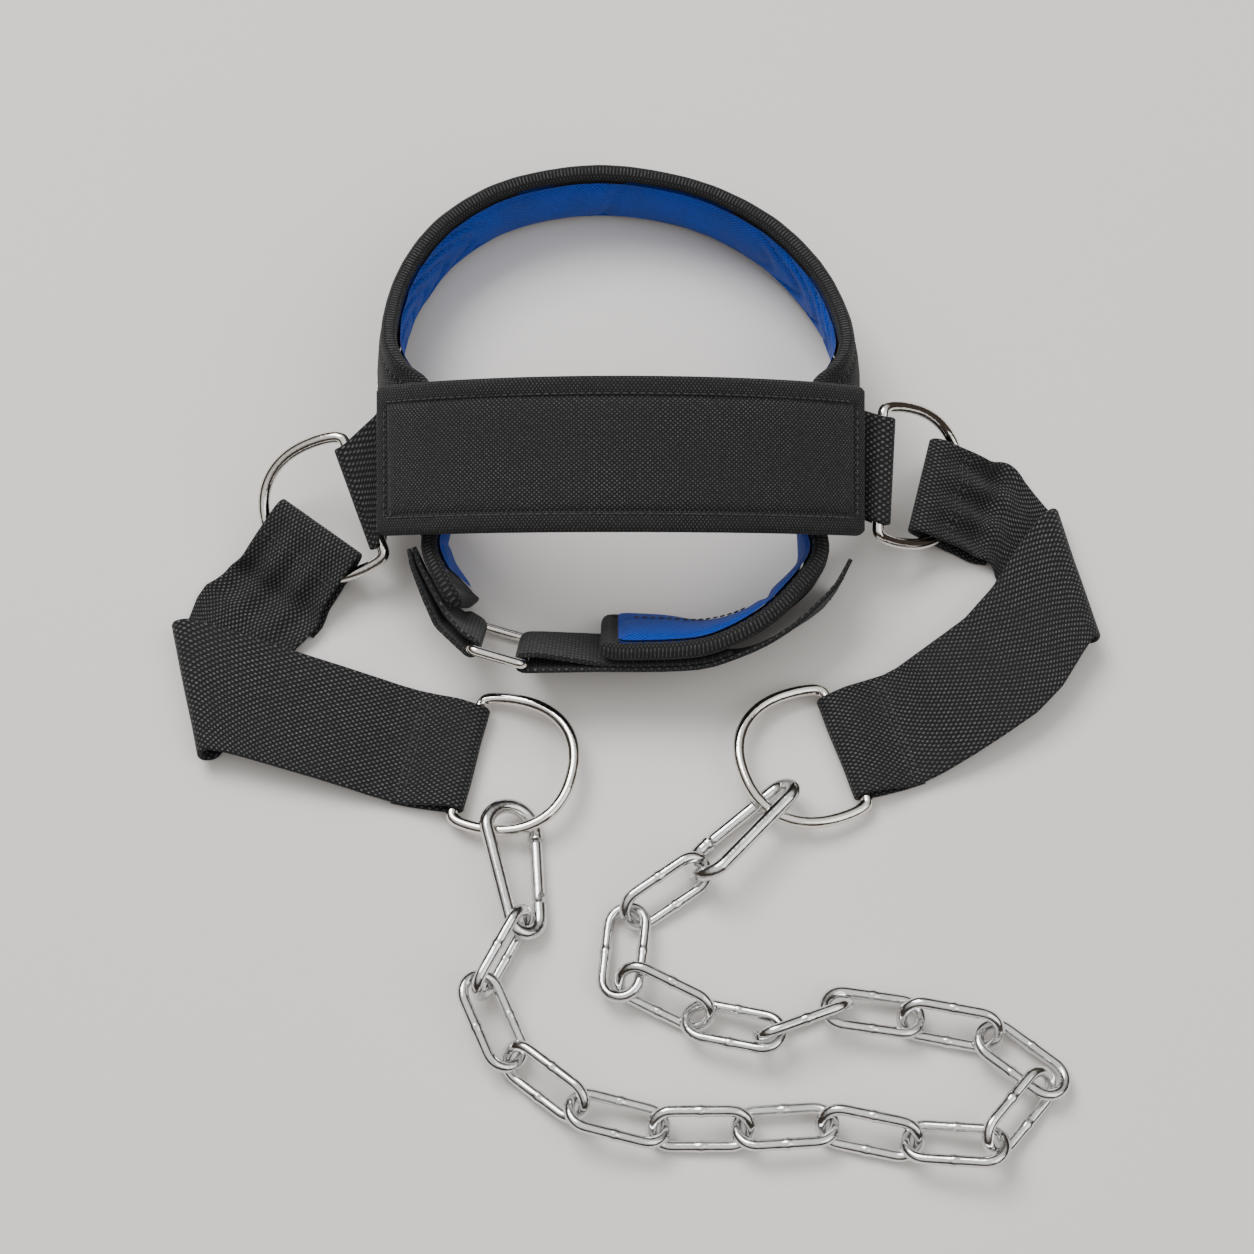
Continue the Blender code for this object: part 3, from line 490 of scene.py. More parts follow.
def strap_path(upper, lower, tunnel, rows):
    """One long strap, and its first station after the wire, and the side that faces out."""
    size = sizes()
    loop_radius = derived()["loop"]
    bar, out_axis, bar_axis = upper
    place_at = frame_matrix(bar, out_axis, bar_axis)
    x, y, z = (place_at.to_3x3().col[i].copy() for i in range(3))
    if z.z < 0:
        z = -z
    turn, setback = tunnel
    u = x * math.cos(turn) + y * math.sin(turn)
    v = -x * math.sin(turn) + y * math.cos(turn)
    a = (RING_DEPTH - RING_WIRE) * 0.685
    hub = bar + x * (RING_DEPTH - RING_WIRE - a)
    gathered = v * size.webbing_width * 0.84
    loop_at = hub + u * setback
    loop = around(loop_at, -z, -u, gathered, loop_radius)
    depth = a - setback + RING_WIRE / 2 + 0.001
    head_plan = Vector((u.x, u.y, 0.0)).normalized()
    deep = loop_at + u * depth
    tip_across = Vector((v.x, v.y, 0.0)).normalized() * size.webbing_width * 0.95
    floor = size.webbing_thickness / 2
    step = size.webbing_thickness + LAYER_GAP

    def at_floor(distance, height):
        point = deep + head_plan * distance
        return Vector((point.x, point.y, height))

    past = deep + u * 0.003
    back = [(at_floor(0.015, floor), tip_across), (at_floor(0.009, floor + 0.0003), tip_across),
            (past - z * loop_radius * 0.8, gathered), (deep - z * loop_radius, gathered)]
    top = [(deep + z * loop_radius, gathered), (past + z * loop_radius * 0.9, gathered),
           (at_floor(0.009, floor + step + 0.0012), tip_across),
           (at_floor(0.016, floor + step), tip_across)]
    run = []
    for px, py, height, heading, stretch in rows:
        angle = math.radians(heading)
        run.append((Vector((px, py, height)),
                    Vector((math.cos(angle), math.sin(angle), 0.0)) * size.webbing_width * stretch))
    low_bar, low_out, low_axis = lower
    low_at = frame_matrix(low_bar, low_out, low_axis)
    lx, ly, lz = (low_at.to_3x3().col[i].copy() for i in range(3))
    if lz.z < 0:
        lz = -lz
    axis = ly if ly.y < 0 else -ly
    end_width = min(size.webbing_width, 2 * ring_point(math.radians(118))[1] - 0.006)
    turn_low = around(low_bar, lz, lx, axis * end_width, loop_radius)
    away = -Vector((lx.x, lx.y, 0.0)).normalized()
    full = axis * size.webbing_width

    def behind(distance, height, across=full):
        point = low_bar + away * distance
        return Vector((point.x, point.y, height)), across

    stitch = STITCH_SETBACK
    narrowed = axis * (end_width + size.webbing_width) / 2
    top_end = [behind(stitch + 0.008, 0.0046), behind(stitch - 0.004, 0.0050),
               behind(0.008, low_bar.z + loop_radius * 0.85, narrowed)]
    back_end = [behind(0.008, low_bar.z - loop_radius, narrowed),
                behind(stitch - 0.004, 0.0050 - step), behind(stitch + 0.005, 0.0046 - step)]
    middle = cut_corners(top + run + top_end)
    path = back + loop + middle + turn_low + back_end
    first = len(back) + 3
    outside = 1 if normals(path)[first + 4].dot(z) > 0 else -1
    return path, first, outside, len(back) + len(loop), len(path) - len(back_end) - len(turn_low)


# Meshes

class Band:
    """A band's path at small even steps, measured so that any point along it can be asked for."""

    def __init__(self, stations, rounds=5, step=0.0006):
        rows = np.array([tuple(centre) + tuple(across) for centre, across in stations])
        gaps = np.linalg.norm(np.diff(rows[:, :3], axis=0), axis=1)
        self.given = np.concatenate([[0.0], np.cumsum(gaps)])
        even = np.linspace(0.0, self.given[-1], max(8, round(self.given[-1] / step)))
        rows = np.stack([np.interp(even, self.given, rows[:, i]) for i in range(6)], axis=1)
        for _ in range(rounds):
            rows[1:-1] = (rows[:-2] + 2 * rows[1:-1] + rows[2:]) / 4
        self.centres = rows[:, :3] - np.array(SHIFT)
        self.across = rows[:, 3:]
        along = np.gradient(self.centres, axis=0)
        facing = np.cross(along, self.across)
        self.facing = facing / np.linalg.norm(facing, axis=1)[:, None]
        self.along = along / np.linalg.norm(along, axis=1)[:, None]
        gaps = np.linalg.norm(np.diff(self.centres, axis=0), axis=1)
        self.run = np.concatenate([[0.0], np.cumsum(gaps)])
        self.length = float(self.run[-1])
        self.width = float(np.linalg.norm(self.across, axis=1).max())

    def at(self, distance):
        """Centre, across, facing and direction at a distance from the start."""
        out = []
        for table in (self.centres, self.across, self.facing, self.along):
            out.append(np.array([np.interp(distance, self.run, table[:, i]) for i in range(3)]))
        out[2] /= np.linalg.norm(out[2])
        return out

    def distance_of(self, index):
        """How far along the path one of its given stations lies."""
        return float(self.given[min(index, len(self.given) - 1)] * self.length / self.given[-1])


def spaced(length, edge, step):
    """Distances from 0 to length, close together within an edge at both ends."""
    shares = (0.0, 0.02, 0.07, 0.15, 0.27, 0.42, 0.60, 0.78, 0.90, 1.0, 1.1, 1.25)
    near = [share * edge for share in shares]
    near = [value for value in near if value < length * 0.45]
    room = length - 2 * near[-1]
    count = max(2, round(room / step))
    middle = [near[-1] + room * i / count for i in range(1, count)]
    return near + middle + [length - value for value in reversed(near)]


def pillow(name, band, height, shade, step=0.0025, corner=0.004, lift=None, regions=None, edge=0.009):
    """A closed padded strip: two faces that meet round the border.

    height(d) is half the thickness at a distance d from the border, lift(u, s, side) moves a face
    out, and regions(d) picks a material slot from the distance."""
    alongs = spaced(band.length, edge, step)
    width = band.width
    acrosses = spaced(width, edge, 0.0025)
    verts, faces, uvs, marks = [], [], [], []
    columns, rows = len(alongs), len(acrosses)
    for side in (1, -1):
        for u in alongs:
            centre, across, facing, _ = band.at(u)
            local = np.linalg.norm(across)
            end = min(u, band.length - u)
            tuck = corner - math.sqrt(max(0.0, corner ** 2 - max(0.0, corner - end) ** 2))
            for s in acrosses:
                share = (s / width - 0.5) * (local - 2 * tuck) / local
                border = min(s, width - s, end)
                rise = height(border)
                if lift and border > 0:
                    rise += lift(u, s - width / 2, side) * min(1.0, border / 0.003)
                verts.append(centre + across * share + facing * side * rise)
                uvs.append((u, s))
                marks.append(border)
    offset = columns * rows
    for side in (0, 1):
        for i in range(columns - 1):
            for j in range(rows - 1):
                a = side * offset + i * rows + j
                quad = (a, a + rows, a + rows + 1, a + 1)
                faces.append(quad if side == 0 else quad[::-1])
    return build_mesh(name, verts, faces, uvs, shade, marks, regions)


def strip(name, band, thickness, shade, step=0.0016, rows=28, lift=None):
    """Webbing: a thin closed slab with rounded selvedges."""
    count = max(8, round(band.length / step))
    width = band.width
    half = thickness / 2
    flat = [max(0.012 - 0.5, min(0.5 - 0.012, i / rows - 0.5)) for i in range(rows + 1)]
    profile = [(-0.5, 0.45)] + [(s, 1.0) for s in flat] + [(0.5, 0.45)]
    ring = [(s, h, 1) for s, h in profile] + [(s, -h, -1) for s, h in reversed(profile)]
    verts, uvs, faces = [], [], []
    for i in range(count + 1):
        u = band.length * i / count
        centre, across, facing, _ = band.at(u)
        for s, h, side in ring:
            rise = half * h + (lift(u, s) if lift else 0.0)
            verts.append(centre + across * s + facing * rise)
            uvs.append((u, (s + 0.5) * width + (0.0 if side > 0 else width * 2)))
    n = len(ring)
    for i in range(count):
        for j in range(n):
            a, b = i * n + j, i * n + (j + 1) % n
            faces.append((a, a + n, b + n, b))
    faces.append(tuple(range(n)))
    faces.append(tuple(reversed(range(count * n, count * n + n))))
    return build_mesh(name, verts, faces, uvs, shade, None, None)


def build_mesh(name, verts, faces, uvs, shade, marks, regions):
    """A smooth object from points and faces, with its UV map in metres along and across."""
    data = bpy.data.meshes.new(name)
    data.from_pydata([tuple(v) for v in verts], [], faces)
    layer = data.uv_layers.new(name="cloth")
    for loop in data.loops:
        layer.data[loop.index].uv = uvs[loop.vertex_index]
    made = bpy.data.objects.new(name, data)
    bpy.context.scene.collection.objects.link(made)
    shades = shade if isinstance(shade, list) else [shade]
    for item in shades:
        data.materials.append(item)
    if regions:
        for poly in data.polygons:
            depth = sum(marks[i] for i in poly.vertices) / len(poly.vertices)
            poly.material_index = regions(depth)
    for item in bpy.context.selected_objects:
        item.select_set(False)
    made.select_set(True)
    bpy.context.view_layer.objects.active = made
    bpy.ops.object.mode_set(mode="EDIT")
    bpy.ops.mesh.select_all(action="SELECT")
    bpy.ops.mesh.remove_doubles(threshold=0.000004)
    bpy.ops.mesh.normals_make_consistent(inside=False)
    bpy.ops.object.mode_set(mode="OBJECT")
    bpy.ops.object.shade_smooth_by_angle(angle=math.radians(60))
    return made


def stitches(name, places, shade):
    """Stitches at (point, direction, facing) places, all one object."""
    size = sizes()
    clear_selection()
    bpy.ops.mesh.primitive_uv_sphere_add(segments=8, ring_count=6, radius=0.5)
    seed = bpy.context.object
    shape = np.array([tuple(vert.co) for vert in seed.data.vertices])
    faces = [tuple(poly.vertices) for poly in seed.data.polygons]
    bpy.data.objects.remove(seed, do_unlink=True)
    verts, quads = [], []
    for point, direction, facing in places:
        direction = direction / np.linalg.norm(direction)
        side = np.cross(facing, direction)
        side /= np.linalg.norm(side)
        up = np.cross(direction, side)
        first = len(verts)
        local = (shape[:, :1] * side * size.thread_thickness
                 + shape[:, 1:2] * up * size.thread_thickness
                 + shape[:, 2:] * direction * size.stitch_length)
        verts.extend(local + point)
        quads.extend(tuple(first + i for i in face) for face in faces)
    data = bpy.data.meshes.new(name)
    data.from_pydata([tuple(v) for v in verts], [], quads)
    data.materials.append(shade)
    made = bpy.data.objects.new(name, data)
    bpy.context.scene.collection.objects.link(made)
    clear_selection()
    made.select_set(True)
    bpy.context.view_layer.objects.active = made
    bpy.ops.object.shade_smooth()
    return made


def row_along(band, shift, start, end, side, rise):
    """Places for stitches along a band, at a shift from its middle, on one face."""
    pitch = sizes().stitch_pitch
    out = []
    for i in range(max(1, int((end - start) / pitch))):
        centre, across, facing, along = band.at(start + (i + 0.5) * pitch)
        unit = across / np.linalg.norm(across)
        out.append((centre + unit * shift + facing * side * rise, along, facing * side))
    return out


def row_across(band, distance, start, end, side, rise):
    """Places for stitches across a band, on one face."""
    pitch = sizes().stitch_pitch
    centre, across, facing, _ = band.at(distance)
    unit = across / np.linalg.norm(across)
    out = []
    for i in range(max(1, int((end - start) / pitch))):
        lift = rise(start + (i + 0.5) * pitch) if callable(rise) else rise
        out.append((centre + unit * (start + (i + 0.5) * pitch) + facing * side * lift, unit,
                    facing * side))
    return out


def clear_selection():
    for item in bpy.context.selected_objects:
        item.select_set(False)


def tube(name, points, thickness, shade, closed=True, swell=None, rounds=3, step=0.0009):
    """A round wire along points, with even small steps; swell gives its thickness along it."""
    line = np.array([tuple(point) for point in points])
    if closed:
        line = np.vstack([line, line[:1]])
    run = np.concatenate([[0.0], np.cumsum(np.linalg.norm(np.diff(line, axis=0), axis=1))])
    count = max(12, round(run[-1] / step))
    even = np.linspace(0.0, run[-1], count + 1)
    line = np.stack([np.interp(even, run, line[:, i]) for i in range(3)], axis=1)
    if closed:
        line = line[:-1]
        for _ in range(rounds):
            line = (np.roll(line, 1, axis=0) + 2 * line + np.roll(line, -1, axis=0)) / 4
    else:
        for _ in range(rounds):
            line[1:-1] = (line[:-2] + 2 * line[1:-1] + line[2:]) / 4
    data = bpy.data.curves.new(name, "CURVE")
    data.dimensions = "3D"
    data.bevel_depth = thickness / 2
    data.bevel_resolution = 6
    data.use_fill_caps = not closed
    spline = data.splines.new("POLY")
    spline.points.add(len(line) - 1)
    for i, (point, at) in enumerate(zip(spline.points, line)):
        point.co = (*at, 1.0)
        point.radius = swell(even[i] / run[-1], line[i]) if swell else 1.0
    spline.use_cyclic_u = closed
    made = bpy.data.objects.new(name, data)
    data.materials.append(shade)
    bpy.context.scene.collection.objects.link(made)
    clear_selection()
    made.select_set(True)
    bpy.context.view_layer.objects.active = made
    bpy.ops.object.convert(target="MESH")
    made = bpy.context.object
    bpy.ops.object.shade_smooth_by_angle(angle=math.radians(50))
    return made


def finished(made, node, body="harness"):
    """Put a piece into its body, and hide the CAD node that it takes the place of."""
    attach(made, body)
    if node:
        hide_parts(node)
    return made


# Materials

class Value:
    """An output in a material; arithmetic on it adds the nodes that work it out."""

    def __init__(self, tree, socket):
        self.tree = tree
        self.socket = socket

    def node(self, kind, settings=None, inputs=None, output=0):
        made = self.tree.nodes.new(kind)
        for name, value in (settings or {}).items():
            setattr(made, name, value)
        for key, value in (inputs or {}).items():
            if isinstance(value, Value):
                self.tree.links.new(value.socket, made.inputs[key])
            else:
                made.inputs[key].default_value = value
        return Value(self.tree, made.outputs[output])

    def maths(self, operation, first, second=0.0):
        return self.node("ShaderNodeMath", {"operation": operation}, {0: first, 1: second})

    def __add__(self, other):
        return self.maths("ADD", self, other)

    __radd__ = __add__

    def __sub__(self, other):
        return self.maths("SUBTRACT", self, other)

    def __rsub__(self, other):
        return self.maths("SUBTRACT", other, self)

    def __mul__(self, other):
        return self.maths("MULTIPLY", self, other)

    __rmul__ = __mul__

    def wave(self):
        return self.maths("COSINE", self)

    def between(self, low, high):
        """0 at or below low, 1 at or above high, smooth between them."""
        return self.node("ShaderNodeMapRange", {"interpolation_type": "SMOOTHSTEP"},
                         {"Value": self, "From Min": low, "From Max": high})

    def mix(self, first, second):
        """A colour between two, by this value."""
        return self.node("ShaderNodeMix", {"data_type": "RGBA"},
                         {"Factor": self, 6: first, 7: second}, 2)


def shade(name, **constants):
    """A new material, its shader and a first value to build the others from."""
    made = bpy.data.materials.new(name)
    made.use_nodes = True
    shader = made.node_tree.nodes["Principled BSDF"]
    for key, value in constants.items():
        shader.inputs[key.replace("_", " ")].default_value = value
    return made, shader, Value(made.node_tree, None)


def feed(shader, key, value):
    shader.id_data.links.new(value.socket, shader.inputs[key])


def rgba(colour, factor=1.0):
    return (*[channel * factor for channel in colour], 1.0)


def noise_at(start, coordinate, scale, detail=2.0):
    return start.node("ShaderNodeTexNoise", None,
                      {"Vector": coordinate, "Scale": scale, "Detail": detail})


def cloth_grid(start):
    """Metres along and across the cloth."""
    coordinate = start.node("ShaderNodeUVMap", {"uv_map": "cloth"})
    along = start.node("ShaderNodeSeparateXYZ", None, {0: coordinate}, 0)
    return along, Value(start.tree, along.socket.node.outputs[1])


def woven(name, base, sheen_colour, pitch_along, pitch_across, low=0.05, high=0.90, amount=1.0):
    """Woven cloth: rows of raised dots, every other row set half a pitch on; the dots are painted
    lighter towards the sheen colour, a painted sheen on the raised yarns.
    """
    made, shader, start = shade(name, Roughness=0.85, Sheen_Weight=0.06, Sheen_Roughness=0.5,
                                Specular_IOR_Level=0.22)
    along, across = cloth_grid(start)
    place_at = start.node("ShaderNodeTexCoord", None, None, 3)
    sway = noise_at(start, place_at, 260.0) - 0.5
    u = along * (2 * math.pi / pitch_along) + sway * 1.1
    v = across * (2 * math.pi / pitch_across) + sway * 0.8
    dots = u.wave() * v.wave()
    lit = dots.between(low, high)
    fleck = noise_at(start, place_at, 900.0, 1.0).between(0.30, 0.72)
    broad = noise_at(start, place_at, 38.0).between(0.30, 0.75)
    # Painted sheen: the raised dots are painted lighter, from the base colour towards the sheen colour
    factor = lit * (fleck * 0.60 + 0.40) * (broad * 0.35 + 0.65) * amount
    feed(shader, "Base Color", factor.mix(rgba(base), rgba(sheen_colour)))
    feed(shader, "Roughness", broad * 0.12 + 0.78)
    bump = start.node("ShaderNodeBump", None,
                      {"Strength": 0.8, "Distance": WEAVE_DEPTH, "Height": dots * 0.5 + fleck * 0.18})
    feed(shader, "Normal", bump)
    return made


def blue_cloth(name):
    """Knitted lining: short staggered ribs with a soft nap; the ribs are painted lighter and the
    grooves between them darker, painted highlight and painted shade, with random flecks and blotches
    of tone.
    """
    colour = colours().lining
    made, shader, start = shade(name, Roughness=0.8, Sheen_Weight=0.05, Sheen_Roughness=0.45,
                                Specular_IOR_Level=0.25)
    along, across = cloth_grid(start)
    place_at = start.node("ShaderNodeTexCoord", None, None, 3)
    sway = noise_at(start, place_at, 300.0) - 0.5
    u = along * (2 * math.pi / LINING_PITCH[0]) + sway * 1.4
    v = across * (2 * math.pi / LINING_PITCH[1]) + sway * 1.2
    ribs = u.wave() * v.wave() * 0.5 + 0.5
    fleck = noise_at(start, place_at, 1100.0, 1.0).between(0.25, 0.75)
    broad = noise_at(start, place_at, 45.0).between(0.25, 0.80)
    # Painted highlight on the ribs and painted shade between them, mixed with random flecks and
    # blotches of tone
    light = ribs * 0.60 + fleck * 0.22 + broad * 0.18
    feed(shader, "Base Color", light.between(0.12, 0.92).mix(rgba(colour, 0.42), rgba(colour, 1.45)))
    feed(shader, "Roughness", broad * 0.15 + 0.72)
    bump = start.node("ShaderNodeBump", None,
                      {"Strength": 0.5, "Distance": WEAVE_DEPTH, "Height": ribs * 0.7 + fleck * 0.3})
    feed(shader, "Normal", bump)
    return made


def plated(name, colour, rough, wear):
    """Polished wire with faint marks and small changes in its shine."""
    made, shader, start = shade(name, Metallic=1.0)
    place_at = start.node("ShaderNodeTexCoord", None, None, 3)
    broad = noise_at(start, place_at, 90.0).between(0.30, 0.75)
    fine = noise_at(start, place_at, 700.0).between(0.35, 0.80)
    feed(shader, "Base Color", (broad * 0.6 + fine * 0.4).mix(rgba(colour, 1 - wear), rgba(colour)))
    feed(shader, "Roughness", broad * rough * 0.6 + fine * 0.05 + rough * 0.6)
    bump = start.node("ShaderNodeBump", None, {"Strength": 0.12, "Distance": 0.0002, "Height": fine})
    feed(shader, "Normal", bump)
    return made


def thread(name):
    made, shader, start = shade(name, Roughness=0.6, Sheen_Weight=0.2)
    place_at = start.node("ShaderNodeTexCoord", None, None, 3)
    twist = noise_at(start, place_at, 1800.0, 1.0).between(0.3, 0.7)
    colour = colours().thread
    feed(shader, "Base Color", twist.mix(rgba(colour, 0.5), rgba(colour, 1.4)))
    bump = start.node("ShaderNodeBump", None, {"Strength": 0.3, "Distance": 0.0002, "Height": twist})
    feed(shader, "Normal", bump)
    return made


def floor_look(name):
    made, shader, start = shade(name, Roughness=0.62, Specular_IOR_Level=0.25)
    place_at = start.node("ShaderNodeTexCoord", None, None, 3)
    broad = noise_at(start, place_at, 3.0)
    feed(shader, "Base Color",
         broad.between(0.2, 0.8).mix(rgba(colours().floor, 0.985), rgba(colours().floor, 1.0)))
    return made


def look(name):
    """One of the harness's materials, made the first time that it is asked for."""
    if name in bpy.data.materials:
        return bpy.data.materials[name]
    tint = colours()
    if name == "strap webbing":
        return woven(name, tint.webbing, tint.painted_yarn_sheen, *WEBBING_PITCH)
    if name == "panel canvas":
        return woven(name, tint.canvas, tint.painted_yarn_sheen, *CANVAS_PITCH, amount=0.75)
    if name == "rolled binding":
        return woven(name, tint.webbing, tint.painted_yarn_sheen, *BINDING_PITCH, 0.10, 1.0, amount=0.65)
    if name == "blue lining cloth":
        return blue_cloth(name)
    if name == "chrome wire":
        return plated(name, tint.chrome, 0.06, 0.12)
    if name == "zinc wire":
        return plated(name, tint.zinc, 0.13, 0.22)
    if name == "sewing thread":
        return thread(name)
    return floor_look(name)


# Pieces

def soft_rise(half, binding, groove=0.0009):
    """Half the thickness of a padded band by the distance from its border."""
    def rise(depth):
        roll = SEAT_SHARE * half * math.sqrt(max(0.0, 1 - (1 - min(depth / ROLL_REACH, 1.0)) ** 2))
        field = min(1.0, max(0.0, (depth - binding) / 0.006))
        field = (1 - SEAT_SHARE) * half * field * field * (3 - 2 * field)
        dip = groove * math.exp(-((depth - binding) / 0.0009) ** 2)
        return roll + field - dip
    return rise


def add_front_panel():
    size = sizes()
    band = Band(panel_path(), rounds=10)
    half = size.panel_thickness / 2
    binding = size.binding_width
    rise = soft_rise(half, binding)

    def lift(u, s, side):
        point = Vector((u * 26, s * 26, 4.0))
        bump = 0.0011 * math.exp(-(((u - 0.058) / 0.012) ** 2 + ((s - 0.027) / 0.004) ** 2))
        return 0.0004 * noise.noise(point) + (bump if side > 0 else 0.0)

    made = pillow("front_panel_cover", band, rise, [look("panel canvas"), look("rolled binding")],
                  lift=lift, regions=lambda depth: 1 if depth < binding else 0)
    finished(made, "front_panel")
    places = []
    inset = band.width / 2 - binding + 0.0012
    top = rise(binding - 0.0012) + 0.0001
    up = 1 if band.at(band.length / 2)[2][2] > 0 else -1
    for shift in (-inset, inset):
        places += row_along(band, shift, binding, band.length - binding, up, top)
    for distance in (binding - 0.0012, binding + 0.0030, band.length - binding + 0.0012):
        places += row_across(band, distance, -inset, inset, up, top)
    finished(stitches("panel_stitching", places, look("sewing thread")), None)


def plump(band, u, s, height, reach):
    """How far a lining stands up at a point, from nothing at its border."""
    border = min(band.width / 2 - abs(s), u, band.length - u)
    return height * (1 - math.exp(-max(border, 0.0) / reach))


def creases(band, legs, depth):
    """Crescent wrinkles of a lining, near its legs."""
    def lift(u, s, side):
        share = u / band.length
        if side < 0:
            return 0.0
        out = 0.0
        for start, end, pitch in legs:
            reach = min(1.0, max(0.0, min(share - start, end - share) / 0.05))
            phase = (u + 3.5 * s * s / band.width + 0.15 * s) / pitch
            wave = math.cos(2 * math.pi * phase + 2.0 * noise.noise(Vector((u * 30, s * 20, start))))
            out -= depth * reach * max(0.0, wave) ** 2
        out += 0.0005 * noise.noise(Vector((u * 60, s * 60, 7.0)))
        return out
    return lift


def add_crown_band():
    size = sizes()
    path = crown_path()
    band = Band(path, rounds=26)
    rise = soft_rise(size.pad_thickness / 2, CROWN_BINDING)
    made = pillow("crown_band_cover", band, rise, [look("panel canvas"), look("rolled binding")],
                  lift=lambda u, s, side: 0.0005 * noise.noise(Vector((u * 30, s * 30, 1.0))),
                  regions=lambda depth: 1 if depth < CROWN_BINDING else 0)
    finished(made, "crown_band")
    inside = SEAT_SHARE * size.pad_thickness / 2 + LINING_THICKNESS / 2
    inner = resized(moved(path, inside), size.crown_width - 2 * LINING_MARGIN)[5:-5]
    lining = Band(inner, rounds=26)
    folds = creases(lining, [(0.04, 0.34, 0.0165), (0.70, 0.95, 0.0185)], 0.0017)

    def lift(u, s, side):
        if side < 0:
            return 0.0
        middle = (u - lining.length * 0.5 - 0.2 * s) / 0.0022
        return (plump(lining, u, s, 0.0026, 0.006) + folds(u, s, side)
                - 0.0012 * math.exp(-middle ** 2))

    cover = pillow("crown_lining_cover", lining, lambda depth: LINING_THICKNESS / 2,
                   look("blue lining cloth"), step=0.0016, lift=lift, edge=0.006)
    finished(cover, "crown_lining")
    seam = CROWN_BINDING - 0.001
    places = []
    for shift in (-1, 1):
        for side in (-1, 1):
            places += row_along(band, shift * (band.width / 2 - seam), 0.010, band.length - 0.010,
                                side, rise(seam) + 0.0001)
    finished(stitches("crown_stitching", places, look("sewing thread")), None)


def add_rear_pads():
    size = sizes()
    places = []
    for label, side, rows in (("left", -1, REAR_LEFT_ROWS), ("right", 1, REAR_RIGHT_ROWS)):
        path = pad_path(side, rows)
        band = Band(path, rounds=20)
        rise = soft_rise(size.pad_thickness / 2, REAR_BINDING)
        made = pillow("rear_pad_cover_" + label, band, rise,
                      [look("panel canvas"), look("rolled binding")], corner=0.008,
                      lift=lambda u, s, face: 0.0005 * noise.noise(Vector((u * 30, s * 30, side))),
                      regions=lambda depth: 1 if depth < REAR_BINDING else 0)
        finished(made, "rear_pad_" + label)
        inward = side * (SEAT_SHARE * size.pad_thickness / 2 + LINING_THICKNESS / 2)
        inner = resized(moved(path, inward), size.rear_pad_width - 2 * LINING_MARGIN)
        inner = inner[8:-1] if side > 0 else inner[8:-3]
        lining = Band(inner, rounds=20)

        def lift(u, s, face):
            if face != side:
                return 0.0
            fold = (u - lining.length * 0.42 - 0.25 * s) / 0.0026
            seam = (s + 0.004) / 0.0008
            dent = 0.0014 * math.exp(-fold ** 2)
            if side > 0 and u > lining.length * 0.5:
                dent += 0.0008 * math.exp(-seam ** 2)
            return (plump(lining, u, s, 0.0024, 0.005) - dent
                    + 0.0006 * noise.noise(Vector((u * 50, s * 50, side))))

        cover = pillow("rear_lining_cover_" + label, lining, lambda depth: LINING_THICKNESS / 2,
                       look("blue lining cloth"), step=0.0016, lift=lift, edge=0.006)
        finished(cover, "rear_lining_" + label)
        for shift in (-1, 1):
            seam = REAR_BINDING - 0.001
            places += row_along(band, shift * (band.width / 2 - seam), 0.012, band.length - 0.007,
                                side, rise(seam) + 0.0001)
        if side > 0:
            places += row_along(lining, -0.0055, lining.length * 0.5, lining.length - 0.004,
                                side, 0.5 * LINING_THICKNESS + 0.0026)
    finished(stitches("pad_stitching", places, look("sewing thread")), None)


def add_straps():
    size = sizes()
    places = []
    straps = (("left", UPPER_RING_LEFT, LOWER_RING_LEFT, LEFT_TUNNEL, LEFT_RUN),
              ("right", UPPER_RING_RIGHT, LOWER_RING_RIGHT, RIGHT_TUNNEL, RIGHT_RUN))
    for label, upper, lower, tunnel, rows in straps:
        path, first, outside, top, low = strap_path(upper, lower, tunnel, rows)
        band = Band(path, rounds=5)
        start = band.distance_of(first)
        mid = band.distance_of(first + 4)
        far = band.distance_of(min(first + 14, len(path) - 1))

        def lift(u, s):
            if u < start:
                return 0.0
            near = 1 - (mid - u) / max(mid - start, 0.001) if u < mid else 1 - (u - mid) / (far - mid)
            near = min(1.0, max(0.0, near))
            near = near * near * (3 - 2 * near)
            wave = 0.0015 * near * (1 - math.cos(2 * math.pi * 3 * s))
            return outside * wave + 0.0003 * noise.noise(Vector((u * 45, s * 3, 2.0)))

        made = strip("strap_webbing_" + label, band, size.webbing_thickness, look("strap webbing"),
                     lift=lift)
        finished(made, "strap_" + label)
        half = size.webbing_thickness / 2
        lower_end = band.distance_of(low) - STITCH_SETBACK
        upper_end = band.distance_of(first) + 0.016
        for distance, up in ((upper_end, outside), (upper_end + 0.0028, outside),
                             (lower_end, -outside), (lower_end - 0.0028, -outside)):
            face = 1 if band.at(distance)[2][2] > 0 else -1
            width = float(np.linalg.norm(band.at(distance)[1]))
            places += row_across(
                band, distance, -width / 2 + 0.002, width / 2 - 0.002, face,
                lambda s: half + 0.0001 + face * lift(distance, s / width))
    finished(stitches("strap_stitching", places, look("sewing thread")), None)


def add_side_tabs():
    size = sizes()
    for label, side, ring in (("left", -1, UPPER_RING_LEFT), ("right", 1, UPPER_RING_RIGHT)):
        band = Band(tab_path(side, ring), rounds=3)
        made = strip("side_tab_webbing_" + label, band, size.webbing_thickness, look("strap webbing"),
                     step=0.0012)
        finished(made, "side_tab_" + label)


